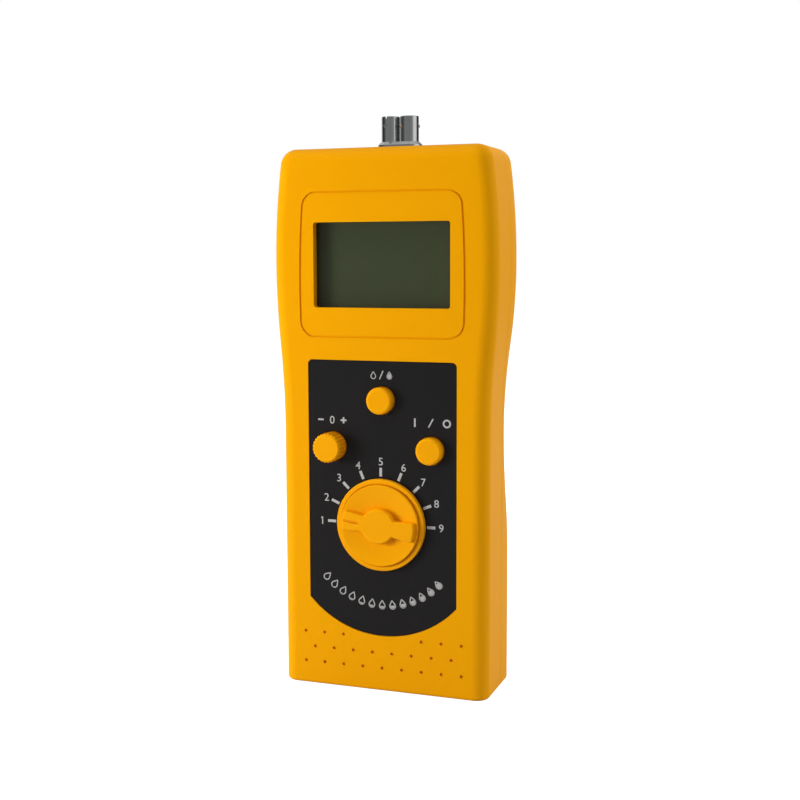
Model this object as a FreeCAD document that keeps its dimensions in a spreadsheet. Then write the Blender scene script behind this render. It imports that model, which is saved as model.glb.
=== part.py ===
"""Handheld moisture meter: orange two-part housing, display, control panel and twin probe sockets.

Millimetres.  The meter stands upright on its base: X to the right seen from the front, Z up, and the
front face looks towards -Y.  The origin is the middle of the base, on the joint between the shells.
"Lift" below is a distance in front of that joint, so a negative lift lies in the rear half.
"""
import FreeCAD, Part

import math
import operator
import os
from types import SimpleNamespace

import Sketcher
from FreeCAD import Rotation, Vector

DRIVING_SIZES = {
    # Housing, seen from the front
    "body_height": 160.9,
    "handle_width": 64.4,
    "head_bulge": 2.4,
    "waist_level": 78.4,
    "head_drop": 33.3,
    "head_curve": 220.0,
    "top_corner": 5.0,
    # Housing, seen from the side
    "front_depth": 16.0,
    "base_depth": 9.5,
    "waist_depth": 4.5,
    "head_depth": 8.6,
    "base_flat": 37.4,
    "wall": 2.4,
    "face_rounding": 4.2,
    "base_rounding": 1.0,
    "back_rounding": 2.5,
    "seam_chamfer": 0.35,
    # Gaps
    "fit_gap": 0.3,
    "running_gap": 0.08,
    "trim_gap": 0.12,
    # Display
    "window_width": 42.16,
    "window_height": 24.9,
    "window_drop": 21.53,
    "window_corner": 0.8,
    "lens_lap": 2.0,
    "lens_thick": 1.2,
    "glass_lap": 1.5,
    "glass_thick": 2.2,
    "frame_wall": 1.6,
    "strip_length": 40.0,
    "strip_width": 2.0,
    "trim_top_drop": 12.56,
    "trim_bottom_drop": 55.2,
    "trim_top_width": 49.8,
    "trim_bottom_width": 51.0,
    "trim_curve": 324.0,
    "trim_corner": 4.75,
    "trim_line": 0.55,
    "trim_depth": 0.4,
    # Control panel
    "panel_width": 46.3,
    "panel_top": 99.17,
    "panel_side_foot": 27.2,
    "panel_foot": 16.84,
    "panel_corner": 1.5,
    "panel_recess": 0.6,
    "panel_thick": 0.3,
    # Selector
    "selector_level": 50.75,
    "selector_turn": 7.0,
    "selector_radius": 13.7,
    "selector_rim": 1.7,
    "selector_edge": 0.24,
    "disc_groove": 0.36,
    "disc_groove_depth": 0.48,
    "disc_edge": 0.12,
    "disc_radius": 12.1,
    "disc_top": 2.6,
    "dish_radius": 11.7,
    "dish_floor": 1.4,
    "grip_top": 4.1,
    "grip_reach": 11.2,
    "grip_end": 2.95,
    "grip_neck": 2.3,
    "grip_hub": 5.15,
    "grip_corner": 0.7,
    "grip_rounding": 0.45,
    "pointer_width": 0.8,
    "pointer_depth": 0.9,
    "pointer_start": 6.2,
    "selector_shaft": 3.0,
    "selector_flat": 2.5,
    "selector_grip_depth": 1.9,
    "selector_opening": 3.7,
    "rotary_radius": 9.5,
    "rotary_height": 6.0,
    "rotary_edge": 0.6,
    # Zero knob
    "zero_offset": 15.6,
    "zero_level": 73.37,
    "zero_radius": 4.33,
    "zero_height": 5.2,
    "zero_skirt": 1.6,
    "zero_chamfer": 0.55,
    "zero_shaft": 1.5,
    "zero_grip_depth": 2.2,
    "zero_pot_width": 9.5,
    "flute_radius": 0.3,
    "flute_count": 24.0,
    # Buttons
    "button_radius": 4.0,
    "button_proud": 2.7,
    "button_rounding": 0.9,
    "button_collar_lap": 0.82,
    "button_collar_thick": 0.7,
    "button_collar_gap": 0.15,
    "button_travel": 0.6,
    "power_offset": 15.2,
    "power_level": 73.37,
    "mode_level": 87.55,
    "tact_width": 6.2,
    "tact_height": 3.4,
    "plunger_radius": 1.7,
    "plunger_entry": 1.0,
    # Grip dimples below the panel
    "dimple_pitch": 6.17,
    "dimple_row_pitch": 4.61,
    "dimple_level": 7.12,
    "dimple_radius": 0.5,
    "dimple_depth": 0.6,
    # Circuit board
    "board_setback": 9.0,
    "board_thick": 1.6,
    "board_width": 46.0,
    "board_foot": 34.0,
    "board_top_drop": 10.0,
    "post_offset": 20.5,
    "post_low": 37.5,
    "post_high": 103.0,
    "post_radius": 2.2,
    # Fasteners
    "screw_offset": 26.0,
    "screw_low": 42.0,
    "screw_high_drop": 12.0,
    "screw_seat": 3.0,
    "screw_radius": 1.25,
    "screw_length": 11.0,
    "screw_head": 2.2,
    "screw_head_height": 1.8,
    "front_boss": 2.6,
    "rear_boss": 3.0,
    "board_screw_radius": 0.95,
    "board_screw_length": 6.0,
    "board_screw_head": 1.9,
    "board_screw_head_height": 1.3,
    # Battery and its door
    "battery_length": 48.5,
    "battery_tall": 26.5,
    "battery_thick": 17.5,
    "battery_shift": 2.5,
    "battery_rounding": 1.5,
    "terminal_spacing": 12.7,
    "terminal_small": 2.8,
    "terminal_large": 3.6,
    "terminal_length": 2.6,
    "snap_thick": 3.95,
    "snap_tall": 25.0,
    "snap_wide": 13.0,
    "shelf_thick": 1.6,
    "rib_thick": 1.5,
    "rib_pitch": 14.0,
    "door_width": 54.2,
    "door_height": 35.7,
    "door_lip": 1.6,
    "door_lip_thick": 0.9,
    "door_foot": 0.2,
    "ridge_length": 18.0,
    "ridge_width": 1.0,
    "ridge_pitch": 2.2,
    "ridge_depth": 0.5,
    # Probe sockets
    "socket_spacing": 5.92,
    "socket_back": 1.2,
    "socket_radius": 2.75,
    "socket_bore": 2.1,
    "socket_height": 9.8,
    "socket_edge": 0.12,
    "socket_bore_depth": 4.5,
    "socket_liner": 1.8,
    "socket_tail": 5.0,
    "socket_lug": 0.45,
    "socket_lug_level": 7.0,
    "socket_lug_proud": 0.45,
    "socket_notch": 0.9,
    "socket_notch_depth": 0.8,
    "socket_turn_left": -15.0,
    "socket_turn_right": 130.0,
    "contact_radius": 0.6,
    "contact_bore": 0.35,
    "flange_radius": 3.85,
    "flange_thick": 2.3,
    "flange_chamfer": 0.9,
    "retainer_thick": 1.5,
    # Wiring
    "lead_radius": 0.5,
    "lead_offset": 22.3,
    "lead_level": 40.0,
    "lead_back": 1.0,
    "lead_pitch": 2.2,
    "lead_row": 4.0,
    "probe_lead_drop": 15.0,
    # Components on the back of the board
    "chip_width": 10.0,
    "chip_thick": 1.6,
    "chip_corner": 0.625,
    "chip_level": 88.0,
    "amp_length": 8.6,
    "amp_width": 4.0,
    "amp_thick": 1.5,
    "amp_offset": 12.0,
    "amp_level": 124.0,
    "crystal_length": 10.6,
    "crystal_width": 4.6,
    "crystal_thick": 3.4,
    "crystal_corner": 2.07,
    "crystal_offset": 11.0,
    "crystal_level": 74.0,
    "can_radius": 2.0,
    "can_height": 4.6,
    "can_offset": 15.0,
    "can_level": 122.0,
    "can_pitch": 6.0,
    "trimmer_width": 6.4,
    "trimmer_thick": 4.0,
    "trimmer_offset": 12.0,
    "trimmer_level": 58.0,
    "trimmer_slot_length": 3.2,
    "trimmer_slot_width": 0.8,
    "trimmer_slot_depth": 1.0,
}

GRIP_RIDGES = 5
CAPACITORS = 3

DOC = FreeCAD.newDocument("MoistureMeter")
SHEET = DOC.addObject("Spreadsheet::Sheet", "Sizes")


class Size:
    """A size known both as a number and as the sheet formula that gives it."""

    def __init__(self, value, formula):
        self.value = value
        self.formula = formula

    def __add__(self, other):
        return joined(self, "+", other)

    def __radd__(self, other):
        return joined(other, "+", self)

    def __sub__(self, other):
        return joined(self, "-", other)

    def __rsub__(self, other):
        return joined(other, "-", self)

    def __mul__(self, other):
        return joined(self, "*", other)

    def __rmul__(self, other):
        return joined(other, "*", self)

    def __truediv__(self, other):
        return joined(self, "/", other)

    def __neg__(self):
        return joined(0, "-", self)


ARITHMETIC = {"+": operator.add, "-": operator.sub, "*": operator.mul, "/": operator.truediv}


def as_size(item):
    return item if isinstance(item, Size) else Size(float(item), "(%s)" % float(item))


def joined(left, sign, right):
    left, right = as_size(left), as_size(right)
    value = ARITHMETIC[sign](left.value, right.value)
    return Size(value, "(%s %s %s)" % (left.formula, sign, right.formula))


def larger(left, right):
    left, right = as_size(left), as_size(right)
    return Size(max(left.value, right.value), "max(%s; %s)" % (left.formula, right.formula))


def root(item):
    return Size(math.sqrt(item.value), "sqrt(%s)" % item.formula)


def fill_sheet():
    """Writes the driving sizes into the sheet and gives them back as sizes by name."""
    names = SimpleNamespace()
    for row, (name, number) in enumerate(DRIVING_SIZES.items(), start=1):
        SHEET.set("A%d" % row, name)
        SHEET.set("B%d" % row, str(number))
        SHEET.setAlias("B%d" % row, name)
        setattr(names, name, Size(number, "Sizes.%s" % name))
    DOC.recompute()
    return names


D = fill_sheet()

# Levels, half-widths and lifts that several pieces share
FACE = D.front_depth
INNER_FACE = FACE - D.wall
PANEL_FLOOR = FACE - D.panel_recess
PANEL_TOP = PANEL_FLOOR + D.panel_thick
BOARD_FRONT = FACE - D.board_setback
BOARD_BACK = BOARD_FRONT - D.board_thick
HANDLE_INSIDE = D.handle_width / 2 - D.wall
WIDEST_LEVEL = D.body_height - D.head_drop
WINDOW_LEVEL = D.body_height - D.window_drop - D.window_height / 2
LENS_BACK = INNER_FACE - D.lens_thick
GLASS_FRONT = LENS_BACK - D.fit_gap
GLASS_BACK = GLASS_FRONT - D.glass_thick
BATTERY_STACK = D.battery_thick + D.door_lip_thick + D.fit_gap * 3
BASE_BACK = larger(D.base_depth, BATTERY_STACK + D.wall * 2 - FACE)
BACK_INSIDE = BASE_BACK - D.wall
DOOR_INNER = BACK_INSIDE - D.fit_gap
LIP_INNER = DOOR_INNER - D.door_lip_thick
BATTERY_BACK = LIP_INNER - D.fit_gap
BATTERY_FRONT = BATTERY_BACK - D.battery_thick
BATTERY_MIDDLE = (BATTERY_BACK + BATTERY_FRONT) / 2
BATTERY_END = D.battery_shift - D.battery_length / 2
BATTERY_LEVEL = D.wall + D.battery_tall / 2
BATTERY_CEILING = D.wall + D.battery_tall + D.fit_gap
SCREW_HIGH = D.body_height - D.screw_high_drop
SOCKET_TOP = D.body_height + D.socket_height
SOCKET_FLOOR = SOCKET_TOP - D.socket_bore_depth
SOCKET_FOOT = D.body_height - D.socket_tail

HOUSING_SCREWS = [(side * D.screw_offset, level) for side in (-1, 1) for level in (D.screw_low, SCREW_HIGH)]
BOARD_SCREWS = [(side * D.post_offset, level) for side in (-1, 1) for level in (D.post_low, D.post_high)]
SOCKETS = (-D.socket_spacing / 2, D.socket_spacing / 2)
TOWARDS_FRONT = Rotation(Vector(1, 0, 0), 90)
BORE_FLOOR = D.fit_gap * 2
SHAFT_START = D.fit_gap * 3

# How far a cut runs past what it cuts, and how near two numbers are when they count as the same
PAST = 1.0
NEAR = 0.001


# Tools for bodies, sketches and features

def bind(item, path, size):
    item.setExpression(path, as_size(size).formula)


def new_body(name, x=0, lift=0, level=0, turn=None, several=False):
    """A body with its own place; several lets it hold separate solids."""
    body = DOC.addObject("PartDesign::Body", name)
    body.Label = name
    body.AllowCompound = several
    if turn is not None:
        body.Placement.Rotation = turn
    bind(body, ".Placement.Base.x", x)
    bind(body, ".Placement.Base.y", -lift)
    bind(body, ".Placement.Base.z", level)
    return body


def sketch_on(body, plane, lift=0):
    """A sketch on one of the body's origin planes, moved along the normal of that plane by lift."""
    sketch = body.newObject("Sketcher::SketchObject", "Sketch")
    planes = {item.Role: item for item in body.Origin.OriginFeatures}
    sketch.AttachmentSupport = [(planes[plane], "")]
    sketch.MapMode = "FlatFace"
    bind(sketch, ".AttachmentOffset.Base.z", lift)
    return sketch


def pin(sketch, edge, end, x, y):
    """Fixes one end of an edge at x, y of the sketch."""
    for kind, size in (("DistanceX", x), ("DistanceY", y)):
        number = sketch.addConstraint(Sketcher.Constraint(kind, -1, 1, edge, end, size.value))
        bind(sketch, "Constraints[%d]" % number, size)


def set_radius(sketch, edge, radius):
    number = sketch.addConstraint(Sketcher.Constraint("Radius", edge, radius.value))
    bind(sketch, "Constraints[%d]" % number, radius)


def circle(sketch, x, y, radius):
    x, y, radius = as_size(x), as_size(y), as_size(radius)
    centre = Vector(x.value, y.value, 0)
    edge = sketch.addGeometry(Part.Circle(centre, Vector(0, 0, 1), radius.value), False)
    pin(sketch, edge, 3, x, y)
    set_radius(sketch, edge, radius)


def arc_between(start, end, radius):
    """The arc under half a turn, counterclockwise from start to end."""
    chord = end - start
    rise = math.sqrt(max(radius ** 2 - chord.Length ** 2 / 4, 0))
    centre = (start + end) / 2 + Vector(-chord.y, chord.x, 0).normalize() * rise
    angles = [math.atan2(point.y - centre.y, point.x - centre.x) for point in (start, end)]
    return Part.ArcOfCircle(Part.Circle(centre, Vector(0, 0, 1), radius), *angles)


def outline(sketch, corners, closed=True):
    """A run of edges through the corners, each (x, y) or (x, y, radius).

    A radius bends the edge that leaves its corner: to the left if bend is 1, to the right if it is -1,
    given as the corner's last item (x, y, radius, bend).
    """
    corners = [tuple(as_size(item) for item in corner[:3]) + tuple(corner[3:]) for corner in corners]
    following = corners[1:] + corners[:1] if closed else corners[1:]
    previous = None
    for corner, target in zip(corners, following):
        start = Vector(corner[0].value, corner[1].value, 0)
        end = Vector(target[0].value, target[1].value, 0)
        if len(corner) == 2:
            edge = sketch.addGeometry(Part.LineSegment(start, end), False)
            tail, head = 1, 2
        elif corner[3] > 0:
            edge = sketch.addGeometry(arc_between(start, end, corner[2].value), False)
            tail, head = 1, 2
        else:
            edge = sketch.addGeometry(arc_between(end, start, corner[2].value), False)
            tail, head = 2, 1
        pin(sketch, edge, tail, *corner[:2])
        if len(corner) > 2:
            set_radius(sketch, edge, corner[2])
        if previous is None:
            first = (edge, tail)
        else:
            sketch.addConstraint(Sketcher.Constraint("Coincident", *previous, edge, tail))
        previous = (edge, head)
    if closed:
        sketch.addConstraint(Sketcher.Constraint("Coincident", *previous, *first))
    else:
        pin(sketch, *previous, *following[-1][:2])


def rectangle(sketch, left, right, low, high):
    outline(sketch, [(left, low), (right, low), (right, high), (left, high)])


def stadium(sketch, reach, radius):
    """Two half circles about (-reach, 0) and (reach, 0), joined by straight edges."""
    outline(sketch, [
        (-reach, -radius), (reach, -radius, radius, 1), (reach + radius, 0, radius, 1), (reach, radius),
        (-reach, radius, radius, 1), (-reach - radius, 0, radius, 1)])


def pad(body, sketch, length, backwards=False, symmetric=False):
    feature = body.newObject("PartDesign::Pad", "Pad")
    feature.Profile = sketch
    bind(feature, "Length", length)
    feature.Reversed = backwards
    feature.Midplane = symmetric
    return feature


def pocket(body, sketch, depth, forwards=False, symmetric=False):
    """Cuts against the sketch's normal, or along it if forwards; the cut has to take something away."""
    DOC.recompute()
    before = body.Tip.Shape.Volume
    feature = body.newObject("PartDesign::Pocket", "Pocket")
    feature.Profile = sketch
    bind(feature, "Length", depth)
    feature.Reversed = forwards
    feature.Midplane = symmetric
    DOC.recompute()
    if not 0 < feature.Shape.Volume < before:
        raise RuntimeError("a pocket of %s cuts nothing, or all" % body.Label)
    return feature


def revolve(body, sketch):
    """Turns the sketch about its vertical axis."""
    feature = body.newObject("PartDesign::Revolution", "Revolution")
    feature.Profile = sketch
    feature.ReferenceAxis = (sketch, ["V_Axis"])
    feature.Angle = 360
    return feature


def around(body, feature, sketch, count):
    """Repeats a feature evenly about the normal of its sketch."""
    pattern = body.newObject("PartDesign::PolarPattern", "PolarPattern")
    pattern.Originals = [feature]
    pattern.Axis = (sketch, ["N_Axis"])
    pattern.Angle = 360
    bind(pattern, "Occurrences", count)
    body.Tip = pattern


def edges_where(body, test):
    DOC.recompute()
    edges = enumerate(body.Tip.Shape.Edges, start=1)
    names = ["Edge%d" % number for number, edge in edges if test(edge)]
    if not names:
        raise RuntimeError("no edge of %s to dress" % body.Label)
    return names


def dress(body, kind, names, size):
    """Rounds or chamfers the named edges: kind is Fillet or Chamfer."""
    base = body.Tip
    feature = body.newObject("PartDesign::" + kind, kind)
    feature.Base = (base, names)
    bind(feature, "Radius" if kind == "Fillet" else "Size", size)
    return feature


def along(edge, axis):
    """True for a straight edge that runs along the axis, which is x, y or z."""
    start, end = edge.discretize(2)
    others = [name for name in "xyz" if name != axis]
    return edge.Curve.TypeId == "Part::GeomLine" and all(
        abs(getattr(start, name) - getattr(end, name)) < NEAR for name in others)


def level_at(edge, axis, size):
    """True for an edge that lies wholly at one value of x, y or z."""
    return all(abs(getattr(point, axis) - as_size(size).value) < NEAR for point in edge.discretize(5))


def above(edge, axis, size):
    return all(getattr(point, axis) > as_size(size).value for point in edge.discretize(5))


# Housing

def sway(x, level, other_x, other_level):
    """Middle point and radius of two equal arcs that carry an upright edge from one x to another."""
    across, up = other_x - x, other_level - level
    return (x + other_x) / 2, (level + other_level) / 2, (up * up + across * across) / (across * 4)


def housing_outline(sketch, inset):
    """The housing seen from the front: straight handle, wider head with gently curved sides."""
    low, top = inset, D.body_height - inset
    handle = D.handle_width / 2 - inset
    head = handle + D.head_bulge
    curve = D.head_curve - inset
    rise = top - WIDEST_LEVEL
    shoulder = head - curve + root(curve * curve - rise * rise)
    middle, middle_level, bend = sway(handle, D.waist_level, head, WIDEST_LEVEL)
    outline(sketch, [
        (-handle, low), (handle, low),
        (handle, D.waist_level, bend, -1), (middle, middle_level, bend, 1),
        (head, WIDEST_LEVEL, curve, 1), (shoulder, top),
        (-shoulder, top, curve, 1), (-head, WIDEST_LEVEL, bend, 1),
        (-middle, middle_level, bend, -1), (-handle, D.waist_level)])


def back_outline(sketch, inset):
    """What is taken off behind the back, seen from the side: deep base, shallow waist, medium head."""
    base, waist, head = BASE_BACK - inset, D.waist_depth - inset, D.head_depth - inset
    lower, lower_level, lower_bend = sway(waist, D.waist_level, base, D.base_flat)
    upper, upper_level, upper_bend = sway(waist, D.waist_level, head, WIDEST_LEVEL)
    outline(sketch, [
        (base, D.base_flat, lower_bend, 1), (lower, lower_level, lower_bend, -1),
        (waist, D.waist_level, upper_bend, -1), (upper, upper_level, upper_bend, 1),
        (head, WIDEST_LEVEL), (head, D.body_height * 2),
        (BASE_BACK * 2, D.body_height * 2), (BASE_BACK * 2, D.base_flat)])


def round_top_corners(body, inset):
    names = edges_where(body, lambda edge: along(edge, "y") and above(edge, "z", WIDEST_LEVEL))
    dress(body, "Fillet", names, D.top_corner - inset)


def rear_block(name, inset):
    """The rear half of the housing as a solid, moved in by inset."""
    body = new_body(name)
    front_view = sketch_on(body, "XZ_Plane")
    housing_outline(front_view, inset)
    pad(body, front_view, BASE_BACK - inset, backwards=True)
    round_top_corners(body, inset)
    side_view = sketch_on(body, "YZ_Plane")
    back_outline(side_view, inset)
    pocket(body, side_view, D.handle_width * 2, symmetric=True)
    return body


def socket_holes(body):
    holes = sketch_on(body, "XY_Plane", D.body_height)
    for x in SOCKETS:
        circle(holes, x, D.socket_back, D.socket_radius + D.trim_gap)
    pocket(body, holes, D.wall + D.fit_gap)


def bosses(body, places, lift, length, radius, backwards=False):
    sketch = sketch_on(body, "XZ_Plane", lift)
    for x, level in places:
        circle(sketch, x, level, radius)
    pad(body, sketch, length, backwards=backwards)


def holes(body, places, lift, depth, radius, forwards=False):
    sketch = sketch_on(body, "XZ_Plane", lift)
    for x, level in places:
        circle(sketch, x, level, radius)
    pocket(body, sketch, depth, forwards=forwards)


def panel_outline(sketch, inset):
    """The control panel: square shoulders above, a wide arc about the selector below."""
    side, foot = D.panel_width / 2, D.panel_foot + inset
    sag = D.panel_side_foot - D.panel_foot
    sweep = (side * side + sag * sag) / (sag * 2)
    side = side - inset
    top = D.panel_top - inset
    corner = D.panel_corner - inset
    outline(sketch, [
        (-side, D.panel_side_foot, sweep, 1), (0, foot, sweep, 1),
        (side, D.panel_side_foot), (side, top - corner, corner, 1), (side - corner, top),
        (corner - side, top, corner, 1), (-side, top - corner)])


def window_trim(body):
    """A fine groove round the window, its sides bowed like the head's."""
    top = D.body_height - D.trim_top_drop
    foot = D.body_height - D.trim_bottom_drop
    sketch = sketch_on(body, "XZ_Plane", FACE)
    for inset in (as_size(0), D.trim_line):
        corner = D.trim_corner - inset
        high, low = D.trim_top_width / 2 - inset, D.trim_bottom_width / 2 - inset
        outline(sketch, [
            (corner - low, foot + inset), (low - corner, foot + inset, corner, 1),
            (low, foot + inset + corner, D.trim_curve, 1), (high, top - inset - corner, corner, 1),
            (high - corner, top - inset), (corner - high, top - inset, corner, 1),
            (-high, top - inset - corner, D.trim_curve, 1), (-low, foot + inset + corner, corner, 1)])
    pocket(body, sketch, D.trim_depth)


def grip_dimples(body):
    """Rows of small blind dimples under the panel; the upper row makes way for the panel's foot."""
    sketch = sketch_on(body, "XZ_Plane", FACE)
    rows = ((0, (-4, -3, -2, -1, 0, 1, 2, 3, 4)),
            (1, (-3.5, -2.5, -1.5, -0.5, 0.5, 1.5, 2.5, 3.5)),
            (2, (-4, -3, -2, 2, 3, 4)))
    for row, steps in rows:
        for step in steps:
            circle(sketch, D.dimple_pitch * step, D.dimple_level + D.dimple_row_pitch * row, D.dimple_radius)
    pocket(body, sketch, D.dimple_depth)


def control_openings(body, lift, depth):
    """Holes for the selector shaft, the zero knob and the two buttons."""
    button = D.button_radius + D.fit_gap
    sketch = sketch_on(body, "XZ_Plane", lift)
    circle(sketch, 0, D.selector_level, D.selector_opening)
    circle(sketch, -D.zero_offset, D.zero_level, D.zero_radius + D.fit_gap)
    circle(sketch, D.power_offset, D.power_level, button)
    circle(sketch, 0, D.mode_level, button)
    pocket(body, sketch, depth)


def front_shell():
    body = new_body("front_shell")
    front_view = sketch_on(body, "XZ_Plane")
    housing_outline(front_view, 0)
    pad(body, front_view, FACE)
    round_top_corners(body, 0)
    rim = edges_where(body, lambda edge: level_at(edge, "y", -FACE) and not level_at(edge, "z", 0))
    dress(body, "Fillet", rim, D.face_rounding)
    foot = edges_where(body, lambda edge: level_at(edge, "z", 0) and not level_at(edge, "y", 0))
    dress(body, "Fillet", foot, D.base_rounding)
    inside = sketch_on(body, "XZ_Plane")
    housing_outline(inside, D.wall)
    pocket(body, inside, INNER_FACE, forwards=True)
    recess = sketch_on(body, "XZ_Plane", FACE)
    panel_outline(recess, as_size(0))
    pocket(body, recess, D.panel_recess)
    control_openings(body, FACE, D.wall + D.fit_gap)
    window = sketch_on(body, "XZ_Plane", FACE)
    half_width, half_height = D.window_width / 2, D.window_height / 2
    rectangle(window, -half_width, half_width, WINDOW_LEVEL - half_height, WINDOW_LEVEL + half_height)
    pocket(body, window, D.wall + D.fit_gap)
    corners = edges_where(body, lambda edge: along(edge, "y")
                          and abs(abs(edge.CenterOfMass.x) - half_width.value) < NEAR
                          and above(edge, "z", WINDOW_LEVEL - half_height - PAST))
    dress(body, "Fillet", corners, D.window_corner)
    window_trim(body)
    grip_dimples(body)
    socket_holes(body)
    bosses(body, HOUSING_SCREWS, 0, INNER_FACE, D.front_boss)
    holes(body, HOUSING_SCREWS, 0, D.screw_length - D.screw_seat + PAST, D.screw_radius, forwards=True)
    bosses(body, BOARD_SCREWS, BOARD_FRONT, INNER_FACE - BOARD_FRONT, D.post_radius)
    holes(body, BOARD_SCREWS, BOARD_FRONT, D.board_screw_length, D.board_screw_radius, forwards=True)
    battery_bay(body)
    return body


def battery_bay(body):
    """A shelf over the battery and three ribs in front of it."""
    shelf = sketch_on(body, "XZ_Plane")
    reach = HANDLE_INSIDE + D.wall / 2
    rectangle(shelf, -reach, reach, BATTERY_CEILING, BATTERY_CEILING + D.shelf_thick)
    pad(body, shelf, INNER_FACE)
    ribs = sketch_on(body, "XZ_Plane", -BATTERY_FRONT)
    for step in (-1, 0, 1):
        middle = D.battery_shift + D.rib_pitch * step
        rectangle(ribs, middle - D.rib_thick / 2, middle + D.rib_thick / 2, D.wall / 2, BATTERY_CEILING)
    pad(body, ribs, INNER_FACE + BATTERY_FRONT)


def rear_shell():
    body = rear_block("rear_shell", as_size(0))
    rim = edges_where(body, lambda edge: not level_at(edge, "y", 0) and not along(edge, "y")
                      and above(edge, "y", NEAR) and not along(edge, "x"))
    crown = edges_where(body, lambda edge: along(edge, "x") and level_at(edge, "z", D.body_height)
                        and above(edge, "y", NEAR))
    dress(body, "Fillet", rim + crown, D.back_rounding)
    foot = edges_where(body, lambda edge: level_at(edge, "z", 0) and not level_at(edge, "y", 0))
    dress(body, "Fillet", foot, D.base_rounding)
    seam = edges_where(body, lambda edge: level_at(edge, "y", 0))
    dress(body, "Chamfer", seam, D.seam_chamfer)
    cavity = body.newObject("PartDesign::Boolean", "Cavity")
    cavity.Type = "Cut"
    cavity.setObjects([rear_block("rear_cavity", D.wall)])
    low_screws = [place for place in HOUSING_SCREWS if place[1] is D.screw_low]
    high_screws = [place for place in HOUSING_SCREWS if place[1] is SCREW_HIGH]
    bosses(body, low_screws, 0, BASE_BACK - D.wall / 2, D.rear_boss, backwards=True)
    bosses(body, high_screws, 0, D.head_depth - D.wall / 2, D.rear_boss, backwards=True)
    holes(body, HOUSING_SCREWS, 0, D.screw_seat, D.screw_radius + D.trim_gap)
    holes(body, HOUSING_SCREWS, -D.screw_seat, BASE_BACK, D.screw_head + D.trim_gap)
    socket_holes(body)
    opening = sketch_on(body, "XZ_Plane", -BACK_INSIDE)
    half = D.door_width / 2
    rectangle(opening, -half, half, -PAST, D.door_height + D.fit_gap)
    pocket(body, opening, D.wall * 2)
    slot = sketch_on(body, "XZ_Plane", D.fit_gap - LIP_INNER)
    reach = half + D.door_lip
    rectangle(slot, -reach, reach, -PAST, D.wall + PAST)
    pocket(body, slot, BACK_INSIDE - LIP_INNER + D.fit_gap)
    return body


def battery_door():
    """Slides down out of the back; a lip behind the wall holds it on both sides."""
    body = new_body("battery_door")
    plate = sketch_on(body, "XZ_Plane", -DOOR_INNER)
    half = D.door_width / 2 - D.fit_gap
    rectangle(plate, -half, half, D.door_foot, D.door_height)
    pad(body, plate, BASE_BACK - DOOR_INNER, backwards=True)
    foot = edges_where(body, lambda edge: along(edge, "x") and level_at(edge, "z", D.door_foot)
                       and above(edge, "y", DOOR_INNER + NEAR))
    dress(body, "Fillet", foot, D.base_rounding)
    lip = sketch_on(body, "XZ_Plane", -LIP_INNER)
    reach = D.door_width / 2 + D.door_lip - D.fit_gap
    rectangle(lip, -reach, reach, D.door_foot, D.door_height - D.door_lip)
    pad(body, lip, D.door_lip_thick, backwards=True)
    ridges = sketch_on(body, "XZ_Plane", -BASE_BACK)
    for step in range(GRIP_RIDGES):
        level = D.door_height - D.ridge_pitch * (step + 2)
        rectangle(ridges, -D.ridge_length / 2, D.ridge_length / 2, level, level + D.ridge_width)
    pocket(body, ridges, D.ridge_depth, forwards=True)
    return body


# Half the length and half the width of a screw's slot, as shares of its head's radius
SLOT_REACH = 0.7
SLOT_HALF = 0.15


def screws(name, places, seat, radius, length, head, head_height):
    """Pan-head screws driven from behind, with a cross slot in each head."""
    body = new_body(name, several=True)
    bosses(body, places, seat, length, radius)
    bosses(body, places, seat, head_height, head, backwards=True)
    for wide, tall in ((SLOT_REACH, SLOT_HALF), (SLOT_HALF, SLOT_REACH)):
        slots = sketch_on(body, "XZ_Plane", seat - head_height)
        for x, level in places:
            rectangle(slots, x - head * wide, x + head * wide, level - head * tall, level + head * tall)
        pocket(body, slots, head_height / 2, forwards=True)
    return body


def housing_screws():
    return screws("housing_screws", HOUSING_SCREWS, -D.screw_seat, D.screw_radius, D.screw_length,
                  D.screw_head, D.screw_head_height)


def board_screws():
    return screws("board_screws", BOARD_SCREWS, BOARD_BACK, D.board_screw_radius, D.board_screw_length,
                  D.board_screw_head, D.board_screw_head_height)


def control_panel():
    body = new_body("control_panel")
    plate = sketch_on(body, "XZ_Plane", PANEL_FLOOR)
    panel_outline(plate, D.trim_gap)
    pad(body, plate, D.panel_thick)
    control_openings(body, PANEL_TOP, D.panel_thick * 2)
    return body


# Display and circuit board

def slab(name, x, level, width, tall, front, back):
    """A flat block that faces the front, between two lifts."""
    body = new_body(name)
    face = sketch_on(body, "XZ_Plane", back)
    rectangle(face, x - width / 2, x + width / 2, level - tall / 2, level + tall / 2)
    pad(body, face, front - back)
    return body


def display_window():
    return slab("display_window", as_size(0), WINDOW_LEVEL, D.window_width + D.lens_lap * 2,
                D.window_height + D.lens_lap * 2, INNER_FACE, LENS_BACK)


def lcd_panel():
    return slab("lcd_panel", as_size(0), WINDOW_LEVEL, D.window_width + D.glass_lap * 2,
                D.window_height + D.glass_lap * 2, GLASS_FRONT, GLASS_BACK)


def lcd_frame():
    opening_width = D.window_width + (D.glass_lap + D.trim_gap) * 2
    opening_height = D.window_height + (D.glass_lap + D.trim_gap) * 2
    body = slab("lcd_frame", as_size(0), WINDOW_LEVEL, opening_width + D.frame_wall * 2,
                opening_height + D.frame_wall * 2, LENS_BACK, BOARD_FRONT)
    opening = sketch_on(body, "XZ_Plane", LENS_BACK)
    rectangle(opening, -opening_width / 2, opening_width / 2,
              WINDOW_LEVEL - opening_height / 2, WINDOW_LEVEL + opening_height / 2)
    pocket(body, opening, LENS_BACK - BOARD_FRONT + D.fit_gap)
    return body


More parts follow.
